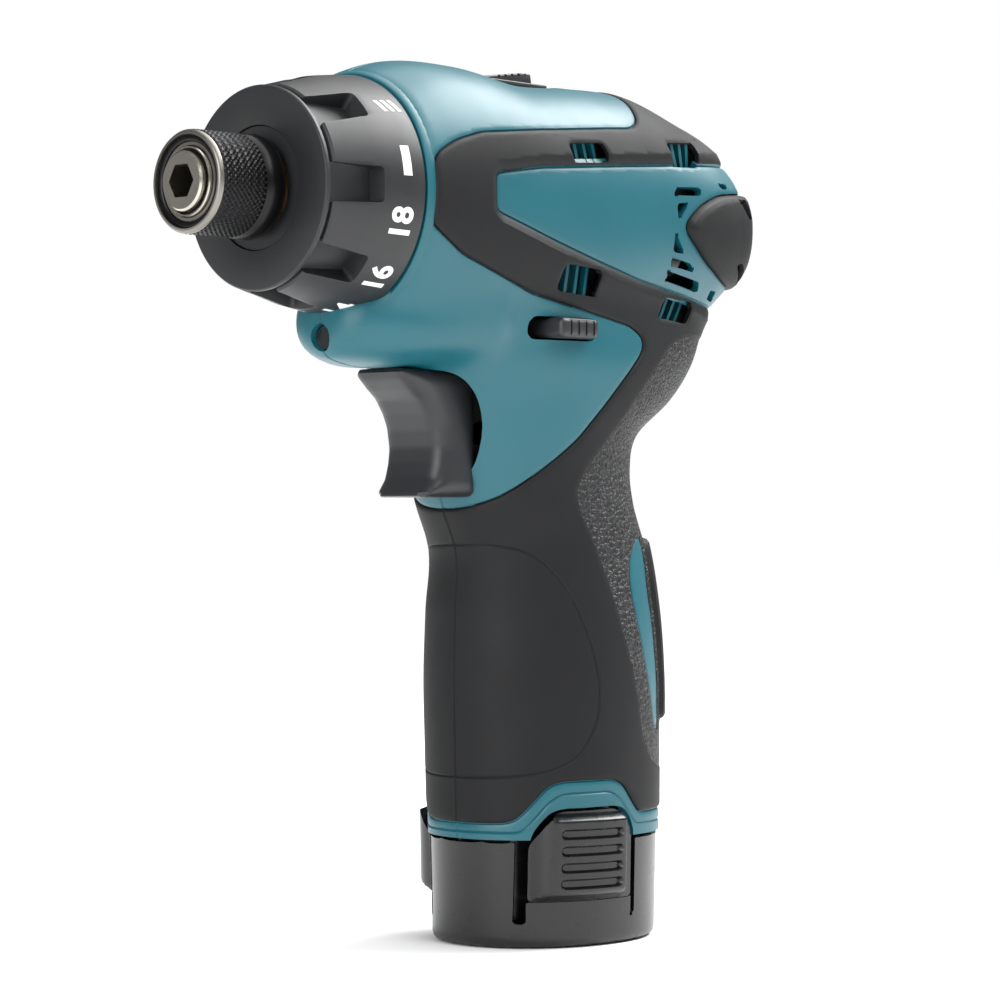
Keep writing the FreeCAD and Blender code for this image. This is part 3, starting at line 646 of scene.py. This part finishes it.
OPENING = [
    (80, 121.0), (42, 121.0), (37.4, 119.8), (33.6, 115.8), (31.6, 111), (30.8, 106.8), (30.6, 101),
    (31.4, 97), (34, 95.2), (80, 95.0),
]
FOOT_GROOVE = [
    (-70, 24.6), (-5.6, 25.0), (-3.0, 27.6), (0.0, 31.0), (3.0, 32.4), (14.2, 32.2), (16.4, 30.8),
    (19.4, 26.4), (21.0, 24.2), (45, 24.2), (45, 10), (-70, 10),
]
ARCH = [
    (-4.8, 10), (-4.6, 24.6), (-2.0, 28.4), (1.2, 29.4), (14.6, 29.2), (16.8, 28.2), (19.6, 24.0),
    (20.2, 10),
]
LEVER_SLOT = [(8.4, 126.9), (27.3, 126.9), (27.3, 131.8), (8.4, 131.8)]
VENTS = [
    [(7.2, 168.6), (18.6, 167.6), (17.4, 163.8), (6.0, 164.7)],
    [(-27.4, 171.6), (-14.4, 170.4), (-16.8, 165.9), (-27.4, 166.7)],
    [(8.8, 141.9), (20.6, 142.7), (21.8, 137.2), (9.8, 136.3)],
    [(-27.2, 136.9), (-14.6, 137.5), (-12.2, 132.9), (-24.4, 132.1)],
]
SLITS = [
    [(-15.9, 161.3), (-26.0, 162.0), (-25.6, 160.0), (-15.6, 159.4)],
    [(-16.2, 157.8), (-20.8, 158.2), (-16.6, 153.6)],
    [(-15.6, 151.2), (-17.2, 149.6), (-19.6, 146.8), (-15.2, 146.9)],
    [(-15.1, 145.8), (-22.2, 144.9), (-24.6, 142.9), (-14.9, 144.0)],
    [(-14.8, 142.8), (-27.4, 141.0), (-28.6, 138.6), (-14.6, 140.6)],
    [(-34.0, 163.6), (-37.0, 163.9), (-38.0, 162.6), (-35.0, 162.4)],
    [(-33.4, 139.6), (-36.6, 139.4), (-37.0, 137.2), (-33.8, 137.6)],
]
NOTCHES = [
    [(-39.6, 159.8), (-42.6, 160.4), (-46.4, 156.4), (-43.2, 155.6)],
    [(-38.6, 146.0), (-41.2, 146.6), (-46.2, 143.0), (-43.6, 141.6)],
]
SCREWS = [(50, 126.6), (-12, 121), (-33, 133.4), (-38, 165), (20, 88.4), (-13.5, 90), (-20, 33), (-20, 60)]

band = inside_rounded(BAND, 1.6)
panel = inside_rounded(PANEL, 1.5)
tail_pad = inside_rounded(TAIL_PAD, 3.0)
strip = inside_rounded(LEATHER_STRIP, 3.0)
crescent = inside_rounded(CRESCENT, 2.5)
back_pad = inside_rounded(BACK_PAD, 2.0)
dimpled = inside_rounded(DIMPLED, 3.0)
opening = inside_rounded(OPENING, 2.5)
foot_groove = inside_rounded(FOOT_GROOVE, 1.5)
arch = inside_rounded(ARCH, 2.0)
lever_slot = inside_rounded(LEVER_SLOT, 2.44, 8)
vents = [inside_rounded(v, 1.3) for v in VENTS]
slits = [inside_rounded(v, 0.3) for v in SLITS]
notches = [inside_rounded(v, 0.4) for v in NOTCHES]
print("outlines:", len(vents), "vents,", len(slits), "slits,", len(notches), "notches")


def rubber_zone(p):
    """Positive on the overmould: band and grip without the panel and the teal crescent, and the tail pad."""
    on_band = np.minimum(np.minimum(band(p), -panel(p)), -crescent(p))
    return np.maximum(on_band, tail_pad(p))


def holes_left(p):
    """Positive in the vents, slits, notches, lever slot, trigger opening and the arch over the latch."""
    found = np.maximum.reduce([v(p) for v in vents + slits + notches + [lever_slot, opening]])
    return np.maximum(found, np.minimum(arch(p), p[:, 1] - 8))


def knob_recess(p):
    """Positive in the recess on top for the speed knob."""
    x, y, z = p.T
    return np.minimum(np.minimum(x - 1.5, 27 - x), np.minimum(8.2 - np.abs(y), z - 170))


def lamp_hole(p):
    """Positive in the round hole for the lamp in the chin."""
    x, y, z = p.T
    return np.where(x > 55, 2.75 - np.hypot(y, z - 126.6), -5.0)


# %% [markdown]
# ## Housing halves
# One net is laid on the left half; the right half is its mirror image with screw recesses.

# %% Housing halves
net_points, net_quads = surface_net(body_field, (-54, -3.0, 16), (69, 30, 188), 1.15)
print("housing net:", len(net_points), "points")


def screw_pits(p):
    """Positive in the round recess over each screw."""
    return np.maximum.reduce([3.3 - np.hypot(p[:, 0] - x, p[:, 2] - z) for x, z in SCREWS])


def make_half(side):
    """Skin of one housing half on the +Y side, with its lines cut and its relief raised."""
    skin = net_skin(net_points, net_quads)
    holes = [holes_left, knob_recess, lamp_hole] + ([screw_pits] if side < 0 else [])
    for level in (lambda p: p[:, 1], lambda p: FOOT - p[:, 2]):
        cut_line(skin, level)
    drop(skin, lambda p: -p[:, 1])
    drop(skin, lambda p: FOOT - p[:, 2])
    for level in holes:
        trim(skin, level)
    features = [
        (rubber_zone, (-0.8, -0.3, -0.1, 0.06, 0.2, 0.55, 1.0),
         (0, -0.12, -0.5, -0.5, -0.05, 0.22, 0.3)),
        (panel, (-2.0, -0.3, 0.0, 0.5), (0.35, -0.55, -0.75, -0.8)),
        (tail_pad, (0.1, 0.9, 2.0, 6.0), (0, 0.8, 1.2, 1.5)),
        (dimpled, (-0.4, 0.0, 0.4), (0, -0.25, 0.0)),
        (strip, (-0.6, 0.0, 0.3), (0, -0.15, -0.15)),
        (back_pad, (-0.6, 0.0, 0.5, 1.2), (0, 0.1, 0.9, 1.2)),
        (lambda p: p[:, 1], (0.0, 0.35), (-0.35, 0.0)),
        (lambda p: np.where(p[:, 2] < 60, foot_groove(p), -9.0), (-0.35, 0.0, 0.35), (0, -0.3, 0.0)),
        (lambda p: np.maximum.reduce([v(p) for v in vents]), (-0.5, 0.0), (0, -0.2)),
    ]
    for level, knots, _ in features:
        for knot in knots:
            cut_line(skin, shifted(level, knot))
    swell(skin, body_field, features)
    return skin


def mirror(obj, side):
    """The mirror image for the right side."""
    if side < 0:
        obj.data.transform(Matrix.Scale(-1, 4, (0, 1, 0)))
        obj.data.flip_normals()
    return obj


def leather_zone(p):
    """Positive on the leather-grained strip of the overmould."""
    return np.minimum(np.minimum(strip(p), -crescent(p)), -back_pad(p))


def rubber_part(sign):
    """Level function of the overmould's leather-grained part for 1, or its plain part for -1."""
    return lambda p: np.minimum(rubber_zone(p), sign * leather_zone(p))


SIDES = ((1, "left"), (-1, "right"))
for side, word in SIDES:
    skin = make_half(side)
    shell = mirror(skin_piece(skin, rubber_zone, False, 1.6), side)
    place(shell, "shell_" + word, "housing", TEAL, ["housing_" + word], 28)
    plain = mirror(skin_piece(skin, rubber_part(-1), True, 1.2), side)
    place(plain, "overmould_" + word, "housing", RUBBER, ["grip_rubber_" + word], 28)
    palm = mirror(skin_piece(skin, rubber_part(1), True, 1.2), side)
    place(palm, "palm_strip_" + word, "housing", LEATHER, (), 28)
    skin.free()

# %% [markdown]
# ## Vents and grip domes
# Teal louvre bars stand behind each vent, with a dark sheet behind them as painted shade of the inside, and
# small domes cover the front of the grip.


# %% Vents and grip domes
def skin_y(x, z):
    """Where the housing's skin is at (x, z) on the +Y side."""
    low, high = 0.0, 40.0
    for _ in range(30):
        middle = (low + high) / 2
        if body_field(np.array([[x, middle, z]]))[0] > 0:
            low = middle
        else:
            high = middle
    return low


def louvres(side):
    """Four slanted bars behind each vent."""
    bars = []
    for corners in VENTS:
        a, b, c, d = [Vector(p) for p in corners]
        for k in range(4):
            t = 0.12 + 0.25 * k
            top, low = a.lerp(b, t), d.lerp(c, t)
            y = skin_y(*((top + low) / 2))
            across = Vector((0.85, 0))
            past = (top - low) * 0.25
            outline = [top + past, top + past + across, low - past + across, low - past]
            bars.append(prism(outline, y - 3.4, y - 1.9, 1))
    return mirror(join(bars), side)


def shade_sheets(side):
    """Dark sheets a little behind the vents: painted shade for the inside of the housing."""
    painted_shade_sheets = []
    for corners in VENTS:
        middle = Vector(corners[0]).lerp(Vector(corners[2]), 0.5)
        wide = [middle + (Vector(p) - middle) * 1.5 for p in corners]
        y = skin_y(*middle)
        painted_shade_sheets.append(prism(wide, y - 5.0, y - 4.2, 1))
    return mirror(join(painted_shade_sheets), side)


def domes(side):
    """Small raised domes in staggered rows, one mesh."""
    bpy.ops.mesh.primitive_uv_sphere_add(segments=10, ring_count=6, radius=0.72 * MM)
    dome = bpy.context.object
    spots = [(25.0 - 4.2 * column, 38.6 + 4.3 * row + 2.15 * (column % 2))
             for row in range(11) for column in range(5)]
    points = np.array([(x, 0, z) for x, z in spots])
    keep = dimpled(points) > 2.0
    placed = []
    for (x, z), wanted in zip(spots, keep):
        y = skin_y(x, z)
        if wanted and y > 2.0:
            at = np.array([[x, y, z]])
            normal = Vector(-gradient(body_field, at)[0]).normalized()
            turn = normal.to_track_quat("Z", "Y").to_matrix().to_4x4()
            copy = linked("dome", dome.data.copy())
            move = Matrix.Translation((Vector(at[0]) + normal * 0.3) * MM)
            copy.data.transform(move @ turn @ Matrix.Diagonal((1, 1, 0.42, 1)))
            placed.append(copy)
    bpy.data.objects.remove(dome)
    return mirror(join(placed), side)


# %% [markdown]
# ## Front lip, screws and bosses
# The shell's front edge has a thin raised lip. Eight screws sit in counterbored bosses of the right half.


# %% Front lip, screws and bosses
def closed_rings(rings):
    """A mesh from point rings of equal length, each joined to the next and the last to the first."""
    index = np.arange(len(rings) * len(rings[0])).reshape(len(rings), -1)
    after, ahead = np.roll(index, -1, axis=0), np.roll(index, -1, axis=1)
    faces = np.stack([index, after, np.roll(after, -1, axis=1), ahead], -1).reshape(-1, 4)
    return from_mesh(np.concatenate(rings), faces)


def front_lip():
    """Thin raised lip at the shell's front edge, following the head's outline."""
    turn = np.linspace(0, 2 * np.pi, 192, endpoint=False)
    profile = [(56.8, -0.5), (57.2, 0.05), (57.5, 0.16), (58.6, 0.16), (59.0, 0.04), (59.2, -0.2),
               (59.2, -2.4), (56.8, -2.4)]
    rings = []
    for x, out in profile:
        w, top, bottom, _ = section(HEAD, x)
        rings.append(np.stack([np.full(len(turn), x), (w + out) * np.cos(turn),
                               (top + bottom) / 2 + ((top - bottom) / 2 + out) * np.sin(turn)], -1))
    return closed_rings(rings)


def screw_floor(x, z):
    """How far from the parting plane the head of the screw at (x, z) sits."""
    round_it = ((3, 0), (-3, 0), (0, 3), (0, -3))
    return min([13.9] + [skin_y(x + a, z + b) - 1.3 for a, b in round_it])


def screw_boss(x, z):
    """Counterbored boss under one screw, its rim flush with the inside of the right half."""
    turn = np.linspace(0, 2 * np.pi, 24, endpoint=False)
    low = screw_floor(x, z) - 2.0
    rings = []
    for radius, depth in ((4.4, low - 3), (4.4, None), (3.2, None), (3.2, low), (1.5, low), (1.5, low - 3)):
        at_x, at_z = x + radius * np.cos(turn), z + radius * np.sin(turn)
        if depth is None:
            depth = np.array([skin_y(*at) - 0.9 for at in zip(at_x, at_z)])
        rings.append(np.stack([at_x, -np.full(len(turn), depth), at_z], -1))
    return closed_rings(rings)


def screw(x, z):
    """Cross-head screw: a flat head with its cross, and a plain shank."""
    top = -screw_floor(x, z)
    head = prism(circle(x, z, 2.7, 40), top, top + 1.95, 1)
    bevel(head, 0.3, 2)
    arms = [block(x - 2, x + 2, top - 1, top + 0.9, z - 0.4, z + 0.4),
            block(x - 0.4, x + 0.4, top - 1, top + 0.9, z - 2, z + 2)]
    cut_away(head, *arms)
    shank = prism(circle(x, z, 1.35, 20), top + 1.9, 6, 1)
    return join([head, shank])


place(front_lip(), "shell_front_lip", "housing", TEAL)
bosses = join([screw_boss(x, z) for x, z in SCREWS])
place(bosses, "screw_bosses", "housing", TEAL)
screws = join([screw(x, z) for x, z in SCREWS])
place(screws, "cross_head_screws", "housing", ZINC, ["housing_screws"])
for side, word in SIDES:
    place(louvres(side), "louvres_" + word, "housing", TEAL)
    # the dark sheets behind the vents are painted shade of the housing's inside
    place(shade_sheets(side), "vent_shade_sheets_" + word, "housing", DARK)
    place(domes(side), "grip_domes_" + word, "housing", RUBBER)

# %% [markdown]
# ## Clutch ring
# A conical ring with a flat front disc, a groove behind the disc's edge and eight finger pockets.

# %% Clutch ring
ring = turned([
    (59.5, 21.4), (59.5, 24.0), (59.9, 24.4), (60.6, 24.5), (64, 24.2), (68.2, 23.7), (72, 23.1),
    (78.0, 21.6), (80.7, 21.0), (81.1, 20.6), (81.2, 19.8), (81.8, 19.8), (82.0, 20.5), (82.7, 20.5),
    (83.0, 20.2), (83.0, 12.5), (80.4, 12.5), (80.4, 18.4), (69.3, 18.4), (68.4, 20.2),
], 192)


def pocket(angle):
    """Cutter for one finger pocket, deepest at its rear wall."""
    plan = [(70.0, -3.5), (70.0, 3.5), (81.0, 3.9), (90, 3.9), (90, -3.9), (81.0, -3.9)]
    tool = prism(rounded(plan, 1.0), 19.2, 32, 2)
    lift = Matrix.Translation((0, 0, AXIS_Z * MM))
    tool.data.transform(lift @ Matrix.Rotation(angle, 4, "X"))
    return tool


tools = [pocket(math.radians(45 * k + 45)) for k in range(8)]
for tool in tools:
    cut_away(tool, block(81.6, 95, -40, 40, 100, 200))      # the front disc stays whole
cut_away(ring, join(tools))
bevel(ring, 0.35, 3, 35)
place(ring, "clutch_ring_body", "clutch_dial", NYLON, ["clutch_ring"], 32)

# %% [markdown]
# ## Marks on the ring
# White print that follows the ring's cone, one mark every 30 degrees: three slanted bars, a bar, and the
# even numbers from 18 down to 2.

# %% Marks on the ring
MARK_STEP = 30              # degrees
FIRST_NUMBER = -17.8        # angle of the 18 from the tool's left, in degrees
MARK_X = 64.9               # middle of the numbers along the axis
MARK_RADIUS = 24.4          # radius at which lengths round the ring are laid out


def ring_radius(x):
    return np.interp(x, (59.5, 60.6, 64, 68.2, 72, 78), (24.4, 24.5, 24.2, 23.7, 23.1, 21.6))


def wrap_mark(obj, angle):
    """Lays a flat mark (x forward, y round the ring, z up) on the ring at an angle from +Y, in mm."""
    for v in obj.data.vertices:
        x, along, up = v.co
        r = ring_radius(x) + 0.03 + up
        turn = angle + along / MARK_RADIUS
        v.co = (x * MM, r * math.cos(turn) * MM, (AXIS_Z + r * math.sin(turn)) * MM)
    return obj


def flat_text(text, height):
    """A thin bold number in mm, its up direction along the axis, read round the ring."""
    bpy.ops.object.text_add()
    made = bpy.context.object
    made.data.body = text
    made.data.size = height / 0.7
    made.data.align_x = "CENTER"
    made.data.align_y = "CENTER"
    made.data.extrude = 0.03
    made.data.offset = 0.2
    made.data.resolution_u = 4
    only(made)
    bpy.ops.object.convert(target="MESH")
    made = bpy.context.object
    made.data.transform(Matrix(((0, 1, 0, MARK_X), (1, 0, 0, 0), (0, 0, 1, 0), (0, 0, 0, 1))))
    made.data.flip_normals()
    return dense(made)


def flat_bar(obj):
    """A bar made in metres, as a dense mark in mm."""
    obj.data.transform(Matrix.Scale(1000, 4))
    return dense(obj)


def dense(obj):
    """Adds points along long edges so that the mark can follow the ring."""
    skin = bmesh.new()
    skin.from_mesh(obj.data)
    bmesh.ops.triangulate(skin, faces=skin.faces)
    long_edges = [e for e in skin.edges if e.calc_length() > 0.7]
    bmesh.ops.subdivide_edges(skin, edges=long_edges, cuts=2)
    bmesh.ops.triangulate(skin, faces=skin.faces)
    skin.to_mesh(obj.data)
    skin.free()
    return obj


marks = []
for k in range(9):
    angle = math.radians(FIRST_NUMBER - MARK_STEP * k)
    marks.append(wrap_mark(flat_text(str(18 - 2 * k), 4.9), angle))
marks.append(wrap_mark(flat_bar(block(63.3, 65.4, -3.1, 3.1, -0.03, 0.03)), math.radians(12.4)))
for k in range(3):
    x = 61.2 + 1.75 * k
    slant = prism([(x, -1.6), (x + 0.85, -1.6), (x + 2.05, 1.6), (x + 1.2, 1.6)], -0.03, 0.03, 2)
    marks.append(wrap_mark(flat_bar(slant), math.radians(43)))
place(join(marks), "clutch_ring_marks", "clutch_dial", INK)

# %% [markdown]
# ## Bit sleeve
# Blackened steel with a diamond knurl, a smooth collar at the back and a bare steel front rim. A washer and
# a clip on the spindle's nose show in its mouth.


# %% Bit sleeve
def knurl(x0, x1, radius, round_count, depth):
    """Knurled band: two crossed sets of helical grooves, as a grid of points rolled round the axis."""
    across = round_count * 4
    along = int((x1 - x0) / 0.26)
    u, v = np.meshgrid(np.arange(across), np.arange(along + 1), indexing="ij")
    turn = 2 * np.pi * u / across
    x = x0 + (x1 - x0) * v / along
    phase = round_count * turn
    slope = 0.95 * round_count * (x - x0) / radius
    ridge = np.minimum(np.abs(np.sin((phase + slope) / 2)), np.abs(np.sin((phase - slope) / 2)))
    edge = np.clip(np.minimum(x - x0, x1 - x) / 0.5, 0, 1)
    r = radius - depth + depth * np.minimum(ridge * 1.5, 1) * edge
    points = np.stack([x, r * np.cos(turn), AXIS_Z + r * np.sin(turn)], -1).reshape(-1, 3)
    index = np.arange(across * (along + 1)).reshape(across, along + 1)
    after = np.roll(index, -1, axis=0)
    faces = np.stack([index[:, :-1], index[:, 1:], after[:, 1:], after[:, :-1]], -1).reshape(-1, 4)
    return from_mesh(points, faces[:, ::-1])


sleeve = turned([
    (84.0, 7.55), (84.0, 9.8), (84.4, 10.3), (85.2, 10.5), (87.4, 10.5), (88.2, 10.3), (88.7, 9.9),
    (89.0, 9.7), (100.2, 9.7), (100.6, 9.2), (100.8, 8.9), (100.8, 8.2), (100.6, 7.9), (92.6, 7.9),
    (92.6, 6.05), (91.6, 6.05),
])
place(sleeve, "bit_sleeve_core", "sleeve", BLACKENED, ["bit_sleeve"], 40)
place(knurl(88.8, 100.3, 10.3, 56, 0.5), "bit_sleeve_knurl", "sleeve", BLACKENED, (), 60)
rim = turned([
    (100.2, 9.3), (100.3, 10.2), (100.7, 10.2), (101.2, 9.85), (101.3, 9.6), (101.3, 9.2), (100.7, 9.1),
])
place(rim, "bit_sleeve_rim", "sleeve", GEAR)
washer = turned([(99.6, 6.4), (100.3, 6.4), (100.4, 6.5), (100.4, 7.75), (100.3, 7.85), (99.6, 7.85)])
place(washer, "sleeve_front_washer", "output_spindle", GEAR)
clip = turned([(100.4, 6.4), (101.0, 6.4), (101.2, 6.55), (101.2, 6.8), (101.0, 6.95), (100.4, 6.95)])
place(clip, "nose_clip", "output_spindle", BRIGHT)

# %% [markdown]
# ## Trigger
# Its side outline is narrowed and rounded towards the finger.

# %% Trigger
TRIGGER = [
    (49.6, 120.8), (48.6, 118.6), (46.2, 116.4), (43.4, 114.3), (41.4, 111.4), (40.1, 108.2), (39.6, 104.6),
    (39.9, 101.4), (40.8, 98.4), (42.4, 96.2), (43.4, 94.9), (43.2, 94.3), (29.0, 94.3), (29.0, 120.8),
]


def trigger_field(p):
    """Positive inside the trigger."""
    x, y, z = p.T
    side_view = inside_outline(TRIGGER)(p)
    front = np.interp(z, (94.3, 98, 104, 110, 115, 120.8), (43.6, 41.0, 39.6, 40.8, 44.2, 49.6))
    back = np.clip(front - x, 0, 20)
    half = 8.2 + 1.0 * (1 - np.exp(-back / 3.0))
    return soft_min(side_view, half - np.abs(y), 3.4)


points, quads = surface_net(trigger_field, (24, -12, 90), (54, 12, 125), 0.8)
trigger = from_mesh(points, quads)
place(trigger, "trigger_shell", "trigger", ACETAL, ["trigger"], 50)

# %% [markdown]
# ## Direction lever and speed knob
# The lever runs through the housing with ribs on both ends. The knob is a grooved wedge on a sliding plate.

# %% Direction lever and speed knob
lever = block(11.0, 22.4, -26.8, 26.8, 127.3, 131.5)
ribs = [block(12.6 + 2.3 * k, 13.1 + 2.3 * k, end - 0.9, end + 0.9, 127, 132)
        for k in range(4) for end in (-27.4, 27.4)]
bevel(lever, 1.2, 4, 40)
cut_away(lever, join(ribs))
cut_away(lever, block(10, 23.4, -17.5, 17.5, 129.8, 133))
place(lever, "lever_bar", "direction_lever", ACETAL, ["direction_lever"])

knob_base = bevel(block(6.4, 26.4, -7.4, 7.4, 181.2, 182.4), 0.3)
wedge = [(25.4, 182.2), (24.6, 182.9), (12.6, 184.6), (10.0, 184.6), (9.6, 182.2)]
knob_grip = bevel(prism(wedge, -6, 6, 1), 0.4)
knob_grooves = [block(11.4 + 2.0 * k, 12.1 + 2.0 * k, -7, 7, 184.7 - 0.28 * k - 0.5, 186) for k in range(5)]
cut_away(knob_grip, join(knob_grooves))
knob_foot = block(16.0, 20.0, -2.5, 2.5, 178.6, 181.4)
knob = join([knob_base, knob_grip, knob_foot])
place(knob, "speed_knob_slider", "speed_selector", ACETAL, ["speed_knob"])

# %% [markdown]
# ## Battery base
# The base continues the grip's outline down to the flat bottom. Two slots and a window free each latch.

# %% Battery base
def battery_cuts(p):
    """Positive in the slots beside the latches and in the latch windows."""
    x, y, z = p.T
    front_slot = np.minimum(0.9 - np.abs(x - 20.8), z - 5.0)
    rear_slot = np.minimum(0.7 - np.abs(x + 5.2), z - 6.0)
    window = np.minimum(np.minimum(x + 4.6, 20.0 - x), z - 9.6)
    return np.minimum(np.maximum.reduce([front_slot, rear_slot, window]), np.abs(y) - 6)


def above_base(p):
    return p[:, 2] - 22.4


points, quads = surface_net(battery_field, (-29, -24, -3), (28, 24, 25), 1.0)
base_skin = net_skin(points, quads)
for level in (above_base, battery_cuts):
    trim(base_skin, level)
base = skin_piece(base_skin, everywhere, True, 1.8)
base_skin.free()
place(base, "battery_shell", "battery", ABS, ["battery_base"])

# %% [markdown]
# ## Latches
# Each latch is a springy tongue cut from the battery's own outline, with a slanted cheek and a ribbed pad.

# %% Latches
TONGUE = [
    (-4.4, 9.75), (-4.3, 23.6), (-1.8, 27.3), (1.4, 28.7), (14.2, 28.5), (16.3, 27.4), (18.6, 23.6),
    (19.75, 21.4), (19.75, 9.75),
]
tongue = inside_rounded(TONGUE, 1.0)
grooves = []
for z in (24.0, 20.5, 17.0, 13.6):
    corners = [(1.5, z - 0.85), (14.6, z - 0.85), (14.6, z + 0.85), (1.5, z + 0.85)]
    grooves.append(inside_rounded(corners, 0.7))


def pad_height(p):
    """Height of the finger pad over the tongue: steep at the back and top, a slanted cheek to the front."""
    x, y, z = p.T
    rise = [(19.4 - x) / 4.4, (x + 0.9) / 1.5, (27.9 - z) / 1.2, (z - 10.0) / 2.6]
    lowest = np.minimum.reduce([np.clip(r, 0, 1) for r in rise])
    return 3.0 * lowest * (2 - lowest)


def latch(side):
    """One tongue with its grooves and its raised pad."""
    skin = net_skin(*surface_net(battery_field, (-7, 5, 7.5), (24, 24, 31), 0.6))
    cut_line(skin, tongue)
    drop(skin, lambda p: -tongue(p))
    levels = [shifted(groove, k) for groove in grooves for k in (-0.25, 0.25)]
    levels += [shifted(pad_height, k) for k in (0.05, 2.9)]
    for level in levels:
        cut_line(skin, level)
    features = [(groove, (-0.25, 0.25), (0, -1.0)) for groove in grooves]
    swell(skin, battery_field, features + [(pad_height, (0, 3), (0, 3))])
    piece = skin_piece(skin, everywhere, True, 1.7)
    skin.free()
    return mirror(piece, side)


for side, word in SIDES:
    place(latch(side), "latch_pad_" + word, word + "_latch", ABS, ["latch_" + word])

# %% [markdown]
# ## Finishes of the carried-over parts
# Every CAD part that is still shown takes the finish of its slot in the record.

# %% Finishes of the carried-over parts
FINISH = {
    "teal_shell": TEAL, "soft_rubber": RUBBER, "black_nylon": NYLON, "dark_plastic": DARK,
    "battery_plastic": ABS, "bright_steel": BRIGHT, "black_steel": BLACKENED, "gear_steel": GEAR,
    "spring_steel": SPRING,
    "zinc_screw": ZINC, "motor_steel": CAN, "magnet_ferrite": FERRITE, "copper": COPPER, "bronze": BRONZE,
    "carbon": CARBON, "cell_wrap": WRAP, "contact_brass": BRASS, "board_green": BOARD, "lamp_lens": LENS,
    "lead_sleeve": LEAD,
}
for part in frame["record"]["subparts"]:
    carried = frame["nodes"][part["node"]]
    for i in range(len(carried.data.materials)):
        carried.data.materials[i] = FINISH[part["material_slot"]]
    if not carried.data.materials:
        carried.data.materials.append(FINISH[part["material_slot"]])

# %% [markdown]
# ## Camera and floor

# %% Camera and floor
eye = Vector((520.8, 488.4, 90.2)) * MM
look = Vector((-0.7206, -0.6934, 0.0052)).normalized()
camera = linked("camera", bpy.data.cameras.new("camera"))
camera.data.lens = 118.8
camera.data.sensor_width = 36.0
camera.location = eye
camera.rotation_euler = look.to_track_quat("-Z", "Y").to_euler()
bpy.context.scene.camera = camera

bpy.ops.mesh.primitive_plane_add(size=8)
floor = bpy.context.object
floor.name = "floor"
floor.location = (0, 0, -0.0002)
floor.data.materials.append(material("studio_floor", "f2f2f2", 0.9)[0])
print("camera:", camera.data.lens, "mm lens")

# %% [markdown]
# ## Light
# Three round soft lamps aimed at the tool, one very soft sun from above and a white backdrop.


# %% Light
def light(name, kind, power, turn, at=(0, 0, 0)):
    """A light with its power, turn and place in metres."""
    data = bpy.data.lights.new(name, kind)
    data.energy = power
    obj = linked(name, data)
    obj.location = at
    obj.rotation_euler = turn.to_euler()
    return obj


def lamp(name, at, size, power):
    """Round soft lamp aimed at the tool's middle."""
    aim = (Vector((0, 0, 0.1)) - Vector(at)).to_track_quat("-Z", "Y")
    obj = light(name, "AREA", power, aim, at)
    obj.data.shape = "DISK"
    obj.data.size = size
    return obj


def sun(name, toward, spread, power):
    """Sun that stands in a direction, with its angular size in degrees."""
    obj = light(name, "SUN", power, Vector(toward).to_track_quat("Z", "Y"))
    obj.data.angle = math.radians(spread)
    return obj


lights = [
    lamp("key", (0.15, 0.9, 1.0), 0.7, 5),
    lamp("fill", (1.1, 0.2, 0.5), 0.9, 10),
    lamp("rim", (-0.75, 0.25, 1.0), 0.9, 18),
    sun("overhead", (-0.35, 0.1, 1.0), 70, 3.05),
]
world = bpy.data.worlds.new("studio")
world.use_nodes = True
sky = world.node_tree
white = sky.nodes["Background"]
white.inputs["Color"].default_value = linear("ffffff")
white.inputs["Strength"].default_value = 1.0
dim = node(sky, "ShaderNodeBackground", {"Strength": 0.28})
dim.inputs["Color"].default_value = linear("ffffff")
seen = node(sky, "ShaderNodeLightPath")
both = node(sky, "ShaderNodeMixShader", {}, {"Fac": seen.outputs["Is Camera Ray"]})
sky.links.new(dim.outputs["Background"], both.inputs[1])
sky.links.new(white.outputs["Background"], both.inputs[2])
sky.links.new(both.outputs["Shader"], sky.nodes["World Output"].inputs["Surface"])
bpy.context.scene.world = world
bpy.context.scene.view_settings.view_transform = "Standard"
print("lights:", ", ".join(light.name for light in lights))
